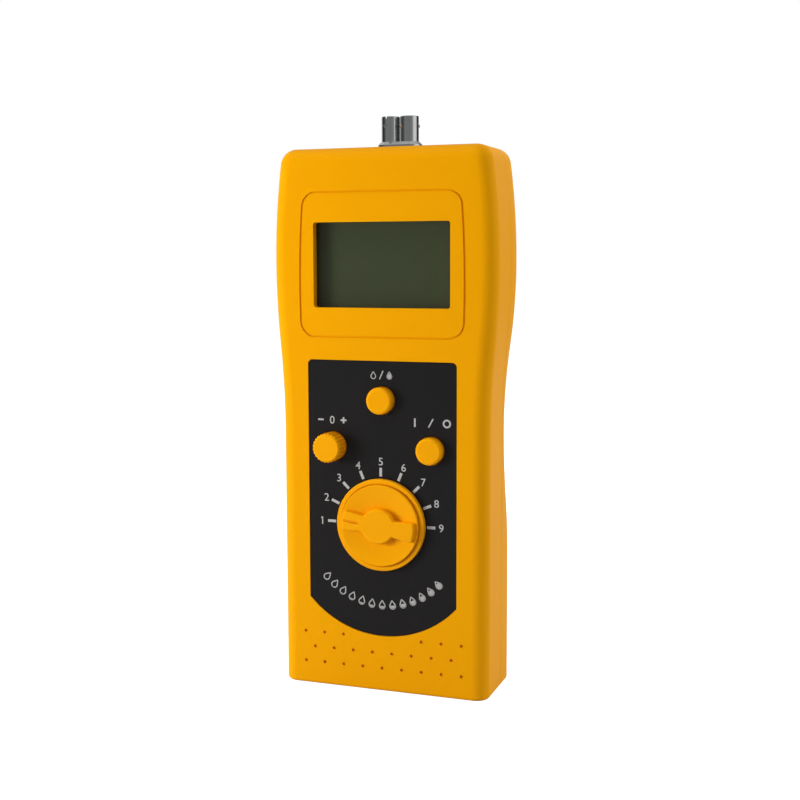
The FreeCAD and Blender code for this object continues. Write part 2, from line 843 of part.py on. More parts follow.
def contact_strips():
    """Rubber strips that join the glass to the board along its top and bottom."""
    body = new_body("contact_strips", several=True)
    sketch = sketch_on(body, "XZ_Plane", BOARD_FRONT)
    for side in (-1, 1):
        level = WINDOW_LEVEL + side * (D.window_height / 2)
        rectangle(sketch, -D.strip_length / 2, D.strip_length / 2,
                  level - D.strip_width / 2, level + D.strip_width / 2)
    pad(body, sketch, GLASS_BACK - BOARD_FRONT)
    return body


def main_board():
    top = D.body_height - D.board_top_drop
    body = slab("main_board", as_size(0), (D.board_foot + top) / 2, D.board_width,
                top - D.board_foot, BOARD_FRONT, BOARD_BACK)
    holes(body, BOARD_SCREWS, BOARD_FRONT, D.board_thick * 2, D.board_screw_radius + D.trim_gap)
    return body


def board_part(name, x, level, width, tall, thick):
    return slab(name, x, level, width, tall, BOARD_BACK, BOARD_BACK - thick)


def main_chip():
    body = board_part("main_chip", as_size(0), D.chip_level, D.chip_width, D.chip_width, D.chip_thick)
    corners = edges_where(body, lambda edge: along(edge, "y"))
    dress(body, "Chamfer", corners, D.chip_corner)
    return body


def amplifier_chip():
    return board_part("amplifier_chip", D.amp_offset, D.amp_level, D.amp_width, D.amp_length, D.amp_thick)


def crystal():
    body = board_part("crystal", D.crystal_offset, D.crystal_level, D.crystal_length, D.crystal_width,
                      D.crystal_thick)
    corners = edges_where(body, lambda edge: along(edge, "y"))
    dress(body, "Fillet", corners, D.crystal_corner)
    return body


def capacitors():
    body = new_body("capacitors", several=True)
    places = [(-D.can_offset + D.can_pitch * step, D.can_level) for step in range(CAPACITORS)]
    bosses(body, places, BOARD_BACK, D.can_height, D.can_radius, backwards=True)
    return body


def trimmers():
    """Two preset resistors, each with a screwdriver slot in a round rotor."""
    body = new_body("trimmers", several=True)
    places = [(side * D.trimmer_offset, D.trimmer_level) for side in (-1, 1)]
    blocks = sketch_on(body, "XZ_Plane", BOARD_BACK)
    half = D.trimmer_width / 2
    for x, level in places:
        rectangle(blocks, x - half, x + half, level - half, level + half)
    pad(body, blocks, D.trimmer_thick, backwards=True)
    slots = sketch_on(body, "XZ_Plane", BOARD_BACK - D.trimmer_thick)
    for x, level in places:
        rectangle(slots, x - D.trimmer_slot_length / 2, x + D.trimmer_slot_length / 2,
                  level - D.trimmer_slot_width / 2, level + D.trimmer_slot_width / 2)
    pocket(body, slots, D.trimmer_slot_depth, forwards=True)
    return body


# Selector, zero knob and buttons: each body's own Z points out of the front face

def at_control(name, x, level, lift, turn=0):
    """A body that faces out of the front, turned clockwise as the user sees it."""
    return new_body(name, x, lift, level, TOWARDS_FRONT.multiply(Rotation(Vector(0, 0, 1), -turn)))


def flatted_round(sketch, radius, flat):
    """A circle with a flat on its right side."""
    half = root(radius * radius - flat * flat)
    outline(sketch, [(flat, -half), (flat, half, radius, 1), (-radius, 0, radius, 1)])


def rotary_switch_body():
    body = at_control("rotary_switch_body", 0, D.selector_level, BOARD_FRONT)
    case = sketch_on(body, "XY_Plane")
    circle(case, 0, 0, D.rotary_radius)
    pad(body, case, D.rotary_height)
    rim = edges_where(body, lambda edge: level_at(edge, "z", D.rotary_height))
    dress(body, "Chamfer", rim, D.rotary_edge)
    bore = sketch_on(body, "XY_Plane", D.rotary_height)
    circle(bore, 0, 0, D.selector_shaft + D.running_gap)
    pocket(body, bore, D.rotary_height - BORE_FLOOR)
    return body


def rotary_switch_shaft():
    """Round where it turns in the switch, flatted where the knob is pushed on."""
    body = at_control("rotary_switch_shaft", 0, D.selector_level, BOARD_FRONT, D.selector_turn.value)
    collar = PANEL_TOP - BOARD_FRONT + D.fit_gap
    shank = sketch_on(body, "XY_Plane", SHAFT_START)
    circle(shank, 0, 0, D.selector_shaft)
    pad(body, shank, collar - SHAFT_START)
    end = sketch_on(body, "XY_Plane", collar)
    flatted_round(end, D.selector_shaft, D.selector_flat)
    pad(body, end, D.selector_grip_depth)
    return body


def selector_knob():
    body = at_control("selector_knob", 0, D.selector_level, PANEL_TOP, D.selector_turn.value)
    foot, rim, edge = D.fit_gap, D.selector_rim, D.selector_edge
    groove = D.disc_radius + D.disc_groove
    groove_floor = rim - D.disc_groove_depth
    lathe = sketch_on(body, "XZ_Plane")
    outline(lathe, [
        (0, foot), (D.selector_radius, foot), (D.selector_radius, rim - edge),
        (D.selector_radius - edge, rim), (groove, rim), (groove, groove_floor), (D.disc_radius, groove_floor),
        (D.disc_radius, D.disc_top - D.disc_edge), (D.disc_radius - D.disc_edge, D.disc_top),
        (D.dish_radius, D.disc_top), (D.selector_shaft, D.dish_floor), (0, D.dish_floor)])
    revolve(body, lathe)
    selector_grip(body)
    bore = sketch_on(body, "XY_Plane", foot)
    flatted_round(bore, D.selector_shaft, D.selector_flat)
    pocket(body, bore, D.selector_grip_depth, forwards=True)
    return body


def selector_grip(body):
    """The raised grip: a round hub with two wings, the left one marked with a sloping pointer notch."""
    tip = root(D.grip_reach * D.grip_reach - D.grip_end * D.grip_end)
    neck = root(D.grip_hub * D.grip_hub - D.grip_neck * D.grip_neck)
    start = D.dish_floor - D.fit_gap
    grip = sketch_on(body, "XY_Plane", start)
    outline(grip, [
        (tip, -D.grip_end, D.grip_reach, 1), (tip, D.grip_end), (neck, D.grip_neck, D.grip_hub, 1),
        (-neck, D.grip_neck), (-tip, D.grip_end, D.grip_reach, 1), (-tip, -D.grip_end),
        (-neck, -D.grip_neck, D.grip_hub, 1), (neck, -D.grip_neck)])
    pad(body, grip, D.grip_top - start)
    upright = edges_where(body, lambda edge: along(edge, "z") and above(edge, "z", D.dish_floor - D.fit_gap)
                          and abs(edge.BoundBox.ZMax - D.grip_top.value) < NEAR)
    dress(body, "Fillet", upright, D.grip_corner)
    crown = edges_where(body, lambda edge: level_at(edge, "z", D.grip_top))
    dress(body, "Fillet", crown, D.grip_rounding)
    notch = sketch_on(body, "XZ_Plane")
    outline(notch, [
        (-D.selector_radius, D.grip_top), (-D.pointer_start, D.grip_top - D.pointer_depth),
        (-D.pointer_start, D.grip_top + PAST), (-D.selector_radius, D.grip_top + PAST)])
    pocket(body, notch, D.pointer_width, symmetric=True)


def zero_pot_body():
    body = at_control("zero_pot_body", -D.zero_offset, D.zero_level, BOARD_FRONT)
    half = D.zero_pot_width / 2
    case = sketch_on(body, "XY_Plane")
    rectangle(case, -half, half, -half, half)
    pad(body, case, D.rotary_height)
    bore = sketch_on(body, "XY_Plane", D.rotary_height)
    circle(bore, 0, 0, D.zero_shaft + D.running_gap)
    pocket(body, bore, D.rotary_height - BORE_FLOOR)
    return body


def zero_pot_shaft():
    body = at_control("zero_pot_shaft", -D.zero_offset, D.zero_level, BOARD_FRONT)
    shank = sketch_on(body, "XY_Plane", SHAFT_START)
    circle(shank, 0, 0, D.zero_shaft)
    pad(body, shank, PANEL_TOP - BOARD_FRONT + D.zero_grip_depth - SHAFT_START)
    return body


def zero_knob():
    """A small fluted cap on the trimming shaft."""
    body = at_control("zero_knob", -D.zero_offset, D.zero_level, PANEL_TOP)
    cap = sketch_on(body, "XY_Plane", -D.zero_skirt)
    circle(cap, 0, 0, D.zero_radius)
    pad(body, cap, D.zero_skirt + D.zero_height)
    rim = edges_where(body, lambda edge: level_at(edge, "z", D.zero_height))
    dress(body, "Chamfer", rim, D.zero_chamfer)
    flute = sketch_on(body, "XY_Plane", D.zero_height)
    circle(flute, D.zero_radius, 0, D.flute_radius)
    around(body, pocket(body, flute, D.zero_height), flute, D.flute_count)
    bore = sketch_on(body, "XY_Plane", -D.zero_skirt)
    circle(bore, 0, 0, D.zero_shaft)
    pocket(body, bore, D.zero_skirt + D.zero_grip_depth, forwards=True)
    return body


COLLAR_FRONT = INNER_FACE - D.button_collar_gap - PANEL_TOP
BUTTON_BACK = COLLAR_FRONT - D.button_collar_thick
TACT_FRONT = BOARD_FRONT + D.tact_height


def button(name, x, level):
    """A push button, kept in by a collar behind the face."""
    body = at_control(name, x, level, PANEL_TOP)
    collar = D.button_radius + D.button_collar_lap
    lathe = sketch_on(body, "XZ_Plane")
    outline(lathe, [
        (0, BUTTON_BACK), (collar, BUTTON_BACK), (collar, COLLAR_FRONT),
        (D.button_radius, COLLAR_FRONT), (D.button_radius, D.button_proud), (0, D.button_proud)])
    revolve(body, lathe)
    rim = edges_where(body, lambda edge: level_at(edge, "z", D.button_proud))
    dress(body, "Fillet", rim, D.button_rounding)
    return body


def button_switch(name, x, level):
    """The push switch on the board under a button, bored for its plunger."""
    body = at_control(name, x, level, BOARD_FRONT)
    half = D.tact_width / 2
    case = sketch_on(body, "XY_Plane")
    rectangle(case, -half, half, -half, half)
    pad(body, case, D.tact_height)
    bore = sketch_on(body, "XY_Plane", D.tact_height)
    circle(bore, 0, 0, D.plunger_radius + D.running_gap)
    pocket(body, bore, D.plunger_entry + D.button_travel * 2)
    return body


def button_plunger(name, x, level):
    """Reaches from the back of the button into its switch."""
    body = at_control(name, x, level, PANEL_TOP)
    stem = sketch_on(body, "XY_Plane", BUTTON_BACK)
    circle(stem, 0, 0, D.plunger_radius)
    pad(body, stem, BUTTON_BACK + PANEL_TOP - TACT_FRONT + D.plunger_entry, backwards=True)
    return body


# Battery

def battery_9v():
    body = slab("battery_9v", D.battery_shift, BATTERY_LEVEL, D.battery_length, D.battery_tall,
                -BATTERY_FRONT, -BATTERY_BACK)
    edges = edges_where(body, lambda edge: along(edge, "x"))
    dress(body, "Fillet", edges, D.battery_rounding)
    return body


def terminal_places():
    half = D.terminal_spacing / 2
    return ((BATTERY_LEVEL - half, D.terminal_small), (BATTERY_LEVEL + half, D.terminal_large))


def battery_terminals():
    body = new_body("battery_terminals", several=True)
    studs = sketch_on(body, "YZ_Plane", BATTERY_END)
    for level, radius in terminal_places():
        circle(studs, BATTERY_MIDDLE, level, radius)
    pad(body, studs, D.terminal_length, backwards=True)
    return body


def battery_snap():
    """The press-on connector over the battery's two terminals."""
    body = new_body("battery_snap")
    block = sketch_on(body, "YZ_Plane", BATTERY_END)
    rectangle(block, BATTERY_MIDDLE - D.snap_wide / 2, BATTERY_MIDDLE + D.snap_wide / 2,
              BATTERY_LEVEL - D.snap_tall / 2, BATTERY_LEVEL + D.snap_tall / 2)
    pad(body, block, D.snap_thick, backwards=True)
    cups = sketch_on(body, "YZ_Plane", BATTERY_END)
    for level, radius in terminal_places():
        circle(cups, BATTERY_MIDDLE, level, radius)
    pocket(body, cups, D.terminal_length)
    return body


# The wires' bend, as a share of their way forwards to the board
LEAD_BEND = 0.7


def lead(body, x, start_depth, start, end_depth, end):
    """A round wire that runs upright behind the board, then bends forwards to the board's back."""
    way = 1 if end.value > start.value else -1
    bend = (start_depth - end_depth) * LEAD_BEND
    route = sketch_on(body, "YZ_Plane", x)
    outline(route, [
        (start_depth, start), (start_depth, end - bend * way, bend, way),
        (start_depth - bend, end), (end_depth, end)], closed=False)
    section = sketch_on(body, "XY_Plane", start)
    circle(section, x, start_depth, D.lead_radius)
    DOC.recompute()
    wire = body.newObject("PartDesign::AdditivePipe", "Wire")
    wire.Profile = section
    wire.Spine = (route, ["Edge%d" % (number + 1) for number in range(3)])


def battery_leads():
    body = new_body("battery_leads", several=True)
    start = BATTERY_LEVEL + D.snap_tall / 2
    for step in range(2):
        lead(body, -D.lead_offset, D.lead_back + D.lead_pitch * step, start,
             -BOARD_BACK, D.lead_level + D.lead_row * step)
    return body


# Probe sockets: each body's own Z points up, and its origin is on the top of the housing

def at_socket(name, x, turn=0):
    return new_body(name, x, -D.socket_back, D.body_height, Rotation(Vector(0, 0, 1), turn))


def twin_plate(name, level, thick, radius):
    """A rounded plate that both sockets pass through."""
    body = new_body(name, 0, -D.socket_back, level)
    plate = sketch_on(body, "XY_Plane")
    stadium(plate, D.socket_spacing / 2, radius)
    pad(body, plate, thick)
    passages = sketch_on(body, "XY_Plane", thick)
    for x in SOCKETS:
        circle(passages, x, 0, D.socket_radius)
    pocket(body, passages, thick * 2)
    return body


def socket_flange():
    body = twin_plate("socket_flange", D.body_height, D.flange_thick, D.flange_radius)
    rim = edges_where(body, lambda edge: level_at(edge, "z", D.flange_thick) and along(edge, "x"))
    dress(body, "Chamfer", rim, D.flange_chamfer)
    return body


def socket_retainer():
    level = D.body_height - D.wall - D.retainer_thick
    return twin_plate("socket_retainer", level, D.retainer_thick, D.flange_radius - D.trim_gap)


def socket_barrel(name, x, turn):
    """A chromed tube with two locating lugs on its sides and a notch across its rim."""
    body = at_socket(name, x, turn.value)
    tube = sketch_on(body, "XY_Plane", -D.socket_tail)
    circle(tube, 0, 0, D.socket_radius)
    pad(body, tube, D.socket_tail + D.socket_height)
    rim = edges_where(body, lambda edge: level_at(edge, "z", D.socket_height))
    dress(body, "Chamfer", rim, D.socket_edge)
    lug = sketch_on(body, "XZ_Plane")
    circle(lug, 0, D.socket_lug_level, D.socket_lug)
    pad(body, lug, (D.socket_radius + D.socket_lug_proud) * 2, symmetric=True)
    bore = sketch_on(body, "XY_Plane", D.socket_height)
    circle(bore, 0, 0, D.socket_bore)
    pocket(body, bore, D.socket_bore_depth)
    liner_bore = sketch_on(body, "XY_Plane", D.socket_height)
    circle(liner_bore, 0, 0, D.socket_liner)
    pocket(body, liner_bore, (D.socket_tail + D.socket_height) * 2)
    notch = sketch_on(body, "XZ_Plane")
    half = D.socket_notch / 2
    rectangle(notch, -half, half, D.socket_height - D.socket_notch_depth, D.socket_height + PAST)
    pocket(body, notch, D.socket_radius * 4, symmetric=True)
    return body


def socket_insulator(name, x):
    body = at_socket(name, x)
    disc = sketch_on(body, "XY_Plane", -D.socket_tail)
    circle(disc, 0, 0, D.socket_liner)
    circle(disc, 0, 0, D.contact_radius)
    pad(body, disc, D.socket_tail + D.socket_height - D.socket_bore_depth)
    return body


def socket_contact(name, x):
    """A small hollow pin, flush with the insulator."""
    body = at_socket(name, x)
    length = D.socket_tail + D.socket_height - D.socket_bore_depth
    pin_round = sketch_on(body, "XY_Plane", -D.socket_tail)
    circle(pin_round, 0, 0, D.contact_radius)
    pad(body, pin_round, length)
    bore = sketch_on(body, "XY_Plane", length - D.socket_tail)
    circle(bore, 0, 0, D.contact_bore)
    pocket(body, bore, length / 2)
    return body


def probe_leads():
    body = new_body("probe_leads", several=True)
    for x in SOCKETS:
        lead(body, x, D.socket_back, SOCKET_FOOT, -BOARD_BACK, D.body_height - D.probe_lead_drop)
    return body


def build():
    """Every piece of the meter, in the order it would come apart from outside to inside."""
    left, right = SOCKETS
    return [
        front_shell(), rear_shell(), battery_door(), housing_screws(), control_panel(),
        display_window(), lcd_panel(), lcd_frame(), contact_strips(), main_board(), board_screws(),
        main_chip(), amplifier_chip(), crystal(), capacitors(), trimmers(),
        rotary_switch_body(), rotary_switch_shaft(), selector_knob(),
        zero_pot_body(), zero_pot_shaft(), zero_knob(),
        button("power_button", D.power_offset, D.power_level),
        button_switch("power_switch", D.power_offset, D.power_level),
        button_plunger("power_plunger", D.power_offset, D.power_level),
        button("mode_button", as_size(0), D.mode_level),
        button_switch("mode_switch", as_size(0), D.mode_level),
        button_plunger("mode_plunger", as_size(0), D.mode_level),
        battery_9v(), battery_terminals(), battery_snap(), battery_leads(),
        socket_flange(), socket_retainer(),
        socket_barrel("socket_barrel_left", left, D.socket_turn_left),
        socket_barrel("socket_barrel_right", right, D.socket_turn_right),
        socket_insulator("socket_insulator_left", left), socket_insulator("socket_insulator_right", right),
        socket_contact("socket_contact_left", left), socket_contact("socket_contact_right", right),
        probe_leads()]


def check(pieces):
    """Stops if any object failed or any piece has no sound shape."""
    DOC.recompute()
    failed = [item.Name for item in DOC.Objects if {"Invalid", "Error"} & set(item.State)]
    unsound = [piece.Label for piece in pieces
               if piece.Shape.isNull() or not piece.Shape.isValid() or piece.Shape.Volume <= 0]
    if failed or unsound:
        raise RuntimeError("failed: %s, unsound: %s" % (failed, unsound))


def write(pieces):
    os.makedirs("parts", exist_ok=True)
    for piece in pieces:
        piece.Shape.exportStep("parts/%s.step" % piece.Label)


PIECES = build()
check(PIECES)
write(PIECES)
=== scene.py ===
"""Handheld moisture meter: finishes, printed marks and stage round its fixed frame.  Metres.

The meter stands on its base with its face towards -Y.  Everything here takes its place from the frame.
"""
import math

import bmesh
import bpy
from bpy.props import FloatProperty, FloatVectorProperty, IntProperty, PointerProperty
from mathutils import Euler, Matrix, Vector


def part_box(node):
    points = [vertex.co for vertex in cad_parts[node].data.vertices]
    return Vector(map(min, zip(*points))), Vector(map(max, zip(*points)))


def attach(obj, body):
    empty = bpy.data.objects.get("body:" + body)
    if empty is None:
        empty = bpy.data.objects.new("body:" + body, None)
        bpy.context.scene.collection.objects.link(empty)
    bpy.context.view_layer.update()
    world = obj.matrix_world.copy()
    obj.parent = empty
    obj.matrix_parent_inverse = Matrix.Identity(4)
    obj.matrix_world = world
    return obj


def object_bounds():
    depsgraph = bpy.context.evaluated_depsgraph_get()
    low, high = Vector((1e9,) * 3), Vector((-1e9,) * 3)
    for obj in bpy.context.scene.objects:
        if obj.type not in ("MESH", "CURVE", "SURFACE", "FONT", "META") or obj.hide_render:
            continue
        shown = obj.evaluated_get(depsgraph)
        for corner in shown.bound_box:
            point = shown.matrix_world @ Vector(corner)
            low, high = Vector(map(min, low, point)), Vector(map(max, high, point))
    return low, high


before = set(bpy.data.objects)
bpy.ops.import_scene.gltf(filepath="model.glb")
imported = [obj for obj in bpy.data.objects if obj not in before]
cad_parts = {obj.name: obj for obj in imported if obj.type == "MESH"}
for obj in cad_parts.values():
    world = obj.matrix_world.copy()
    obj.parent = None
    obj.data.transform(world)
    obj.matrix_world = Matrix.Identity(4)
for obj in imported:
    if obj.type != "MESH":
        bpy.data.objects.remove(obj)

bl_info = {
    "name": "Moisture Meter Looks",
    "version": (1, 0, 0),
    "blender": (4, 5, 0),
    "location": "3D View > Sidebar > Meter",
    "description": "Finishes, printed marks and a studio stage for a handheld moisture meter",
    "category": "Object",
}

CAD_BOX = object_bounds()
FLOOR_HALF = 6.0

# A printed symbol's sizes, as shares of its height
STROKE = 0.2
SLASH_STROKE = 0.16
SLASH_LEAN = 0.28
SIGN_REACH = 0.36
SIGN_SPACING = 1.45
POWER_SPACING = 1.95
MODE_SLASH_STROKE = 0.13
MODE_SLASH_LEAN = 0.22
ONE_STROKE = 0.15
ONE_FLAG_STROKE = 0.12
ONE_FLAG_REACH = 0.2
DROP_RADIUS = 0.34
DROP_STROKE = 0.1

# Steps in a drop's outline and in its filling, and the least share that is filled at all
DROP_STEPS = 22
FILL_STEPS = 20
LEAST_FILL = 0.05

# The dry-to-wet scale's arc: where it starts and how far it goes round the dial
SCALE_START = math.radians(-136.0)
SCALE_SWEEP = math.radians(92.0)

# Soft lights: name, place, size and the setting that holds the power
LIGHTS = (("key", (-0.36, -0.3, 0.13), 0.2, "key_power"),
          ("side", (0.7, 0.12, 0.3), 0.5, "side_power"),
          ("top", (-0.05, -0.15, 0.75), 0.5, "top_power"),
          ("back", (0.15, 0.7, 0.35), 0.5, "back_power"))

# How bright the surroundings overhead are in a mirroring surface
OVERHEAD_MIRRORED = 0.6

# Brightness that gloss mirrors from all round: degrees from the front, with the right positive, and level
MIRRORED = ((-180, 0.1), (-150, 0.3), (-124, 0.9), (-105, 0.08), (-87, 0.02), (-65, 0.08), (-40, 0.26),
            (20, 0.24), (55, 0.3), (73, 0.95), (108, 1.0), (125, 0.06), (136, 0.02), (180, 0.1))


def colour_property(name, description, default):
    return FloatVectorProperty(name=name, description=description, subtype="COLOR", size=3,
                               min=0.0, max=1.0, default=default)


def length_property(name, description, default):
    return FloatProperty(name=name, description=description, subtype="DISTANCE", unit="LENGTH",
                         min=0.0, default=default)


def amount_property(name, description, default, most=1.0):
    return FloatProperty(name=name, description=description, subtype="FACTOR", min=0.0, max=most,
                         default=default)


# Where things are, read from the frame

def centre_of(node):
    low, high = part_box(node)
    return (low + high) / 2


def panel_surface():
    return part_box("control_panel")[0].y


DIAL_CENTRE = centre_of("selector_knob")


# Settings that a user would change

class HousingFinish(bpy.types.PropertyGroup):
    colour: colour_property("Colour", "Main colour of the moulded shells", (0.86, 0.37, 0.0006))
    deep_colour: colour_property("Deep colour", "Slightly deeper tone in the flow of the plastic",
                                 (0.82, 0.335, 0.0006))
    control_colour: colour_property("Control colour", "Colour of the knobs and buttons",
                                    (0.9, 0.38, 0.001))
    roughness: amount_property("Roughness", "Gloss of the shells: low is shiny", 0.4)
    grain: length_property("Grain", "Size of the fine moulded grain", 0.00022)


class PanelPrint(bpy.types.PropertyGroup):
    film_colour: colour_property("Film colour", "Colour of the control panel's film",
                                 (0.0125, 0.0118, 0.0122))
    ink_colour: colour_property("Ink colour", "Colour of the printed marks", (0.47, 0.47, 0.46))
    ink_thickness: length_property("Ink thickness", "How far the print stands up", 0.00003)
    sideways: FloatProperty(name="Sideways", description="How far the print sits to the right of the dial",
                            unit="LENGTH", default=-0.0003)
    tick_inner: length_property("Tick start", "Radius where the dial's ticks start", 0.0143)
    tick_outer: length_property("Tick end", "Radius where the dial's ticks end", 0.0169)
    tick_width: length_property("Tick width", "Width of the dial's ticks", 0.00083)
    digit_radius: length_property("Digit radius", "Radius of the ring of digits", 0.0187)
    digit_height: length_property("Digit height", "Height of the digits", 0.0023)
    boldness: amount_property("Boldness", "How much the digits' strokes are thickened", 0.004, 0.05)
    positions: IntProperty(name="Positions", description="Number of dial positions", min=2, default=9)
    scale_radius: length_property("Scale radius", "Radius of the arc of drops below the dial", 0.0242)
    scale_drops: IntProperty(name="Drops", description="Number of drops in the dry-to-wet scale", min=2,
                             default=13)
    drop_height: length_property("Drop height", "Height of one drop", 0.0031)
    symbol_height: length_property("Symbol height", "Height of the symbols by the buttons", 0.0025)
    zero_gap: length_property("Zero symbol gap", "Distance from the zero knob to its symbols", 0.0023)
    power_gap: length_property("Power symbol gap", "Distance from the power button to its symbols", 0.002)
    mode_gap: length_property("Mode symbol gap", "Distance from the mode button to its symbols", 0.0014)


class DisplayFinish(bpy.types.PropertyGroup):
    window_colour: colour_property("Window colour", "Tint of the clear window", (0.012, 0.015, 0.009))
    window_alpha: amount_property("Window haze", "How much of the window's own surface shows", 0.3)
    glass_colour: colour_property("Display colour", "Colour of the unlit display", (0.15, 0.187, 0.084))
    # The display edge colour is painted shade towards the display's top and bottom edges, and also the tone
    # of its fine grain.
    glass_shade_and_grain_colour: colour_property("Display edge colour", "Darker tone near the display's edge",
                                       (0.135, 0.165, 0.077))
    frame_colour: colour_property("Frame colour", "Colour of the display's frame", (0.018, 0.018, 0.018))


class MetalFinish(bpy.types.PropertyGroup):
    chrome_colour: colour_property("Chrome colour", "Colour of the plated sockets", (0.6, 0.62, 0.62))
    chrome_roughness: amount_property("Chrome roughness", "Gloss of the plating", 0.1)
    steel_colour: colour_property("Steel colour", "Colour of the screws", (0.5, 0.5, 0.51))
    brass_colour: colour_property("Contact colour", "Colour of the plated contacts", (0.82, 0.6, 0.26))
    turning_pitch: length_property("Turning pitch", "Distance between fine turning lines", 0.00018)


class StageSettings(bpy.types.PropertyGroup):
    camera_place: FloatVectorProperty(name="Camera place", description="Where the camera stands",
                                      subtype="TRANSLATION", unit="LENGTH", size=3,
                                      default=(0.13048, -0.36362, 0.12858))
    camera_turn: FloatVectorProperty(name="Camera turn", description="How the camera is turned",
                                     subtype="EULER", unit="ROTATION", size=3,
                                     default=tuple(math.radians(a) for a in (83.717, 0.151, 19.702)))
    lens: FloatProperty(name="Lens", description="Focal length in millimetres of film", min=1.0,
                        default=57.56)
    floor_colour: colour_property("Floor colour", "Colour of the pale floor", (0.55, 0.55, 0.55))
    floor_glow: amount_property("Floor glow", "How far the floor is lifted towards white", 0.86)
    key_power: FloatProperty(name="Key light", description="Power in watts of the light on the left", min=0.0,
                             default=1.9)
    side_power: FloatProperty(name="Side light", description="Power in watts of the light on the right",
                              min=0.0, default=2.05)
    top_power: FloatProperty(name="Top light", description="Power in watts of the light from above",
                             min=0.0, default=1.5)
    back_power: FloatProperty(name="Back light", description="Power in watts of the light from behind",
                              min=0.0, default=3.0)
    surround: FloatProperty(name="Surround", description="Brightness of the white surroundings", min=0.0,
                            default=0.5)
    front_share: amount_property("Front share", "How much of the surroundings' light comes from in front",
                                 0.1)


# Node tools

def add(tree, kind, settings=None, **inputs):
    """A node with its settings and its inputs, each a plain value or another node's output."""
    item = tree.nodes.new(kind)
    for name, value in (settings or {}).items():
        setattr(item, name, value)
    for name, value in inputs.items():
        socket = item.inputs[name.replace("_", " ")]
        if isinstance(value, bpy.types.NodeSocket):
            tree.links.new(value, socket)
        else:
            socket.default_value = value
    return item


def opaque(colour):
    return (*colour, 1.0)


def blend_colours(tree, amount, first, second):
    """Mixes two colours and gives the result's socket."""
    mix = add(tree, "ShaderNodeMix", {"data_type": "RGBA"})
    for index, value in ((0, amount), (6, first), (7, second)):
        if isinstance(value, bpy.types.NodeSocket):
            tree.links.new(value, mix.inputs[index])
        else:
            mix.inputs[index].default_value = value
    return mix.outputs[2]


def figure(tree, operation, first, second=0.0, third=0.0):
    """A math node's result."""
    item = add(tree, "ShaderNodeMath", {"operation": operation})
    for index, value in enumerate((first, second, third)):
        if isinstance(value, bpy.types.NodeSocket):
            tree.links.new(value, item.inputs[index])
        else:
            item.inputs[index].default_value = value
    return item.outputs[0]


def share_between(tree, value, low, high):
    """Where value lies between low and high, from 0 to 1."""
    return add(tree, "ShaderNodeMapRange", {}, Value=value, From_Min=low, From_Max=high).outputs[0]


def spread(tree, value, low, high):
    """Stretches a 0 to 1 value over low to high."""
    return add(tree, "ShaderNodeMapRange", {}, Value=value, To_Min=low, To_Max=high).outputs[0]


def axes_of(tree, vector):
    """A vector's X, Y and Z."""
    return add(tree, "ShaderNodeSeparateXYZ", {}, Vector=vector).outputs


def place_of(tree):
    return add(tree, "ShaderNodeTexCoord").outputs["Object"]


def noise(tree, place, scale, detail=2.0):
    return add(tree, "ShaderNodeTexNoise", {}, Vector=place, Scale=scale, Detail=detail).outputs["Fac"]


def new_group(name, inputs, outputs):
    """An empty shader group and its input and output nodes."""
    tree = bpy.data.node_groups.new(name, "ShaderNodeTree")
    for label, kind, value in inputs:
        tree.interface.new_socket(label, in_out="INPUT", socket_type=kind).default_value = value
    for label, kind in outputs:
        tree.interface.new_socket(label, in_out="OUTPUT", socket_type=kind)
    return tree, tree.nodes.new("NodeGroupInput").outputs, tree.nodes.new("NodeGroupOutput").inputs


FLOAT, COLOUR = "NodeSocketFloat", "NodeSocketColor"


def moulded_skin():
    """Group: the soft flow of tone and the fine grain of moulded plastic."""
    known = bpy.data.node_groups.get("Moulded Skin")
    if known:
        return known
    tree, given, result = new_group(
        "Moulded Skin",
        [("Colour", COLOUR, (0.5, 0.5, 0.5, 1)), ("Deep Colour", COLOUR, (0.4, 0.4, 0.4, 1)),
         ("Flow Scale", FLOAT, 22.0), ("Grain Scale", FLOAT, 4500.0), ("Roughness", FLOAT, 0.4),
         ("Roughness Spread", FLOAT, 0.06)],
        [("Colour", COLOUR), ("Roughness", FLOAT), ("Height", FLOAT)])
    place = place_of(tree)
    flow = noise(tree, place, given["Flow Scale"], 1.0)
    tree.links.new(blend_colours(tree, spread(tree, flow, 0.0, 0.6), given["Colour"], given["Deep Colour"]),
                   result["Colour"])
    grain = noise(tree, place, given["Grain Scale"], 1.0)
    wander = figure(tree, "SUBTRACT", noise(tree, place, 160.0), 0.5)
    rough = figure(tree, "MULTIPLY_ADD", wander, given["Roughness Spread"], given["Roughness"])
    tree.links.new(rough, result["Roughness"])
    tree.links.new(grain, result["Height"])
    return tree


def turned_lines():
    """Group: fine turning lines that ring an upright metal part."""
    known = bpy.data.node_groups.get("Turned Lines")
    if known:
        return known
    tree, given, result = new_group(
        "Turned Lines",
        [("Colour", COLOUR, (0.6, 0.6, 0.6, 1)), ("Line Scale", FLOAT, 1700.0), ("Roughness", FLOAT, 0.2),
         ("Roughness Spread", FLOAT, 0.1)],
        [("Colour", COLOUR), ("Roughness", FLOAT), ("Height", FLOAT)])
    place = place_of(tree)
    lines = add(tree, "ShaderNodeTexWave", {"bands_direction": "Z"}, Vector=place,
                Scale=given["Line Scale"], Distortion=1.5, Detail=2.0).outputs["Fac"]
    cloud = noise(tree, place, 900.0, 3.0)
    tree.links.new(blend_colours(tree, spread(tree, cloud, 0.0, 0.25), given["Colour"], (0.2, 0.2, 0.2, 1)),
                   result["Colour"])
    rough = figure(tree, "MULTIPLY_ADD", cloud, given["Roughness Spread"], given["Roughness"])
    tree.links.new(rough, result["Roughness"])
    tree.links.new(lines, result["Height"])
    return tree


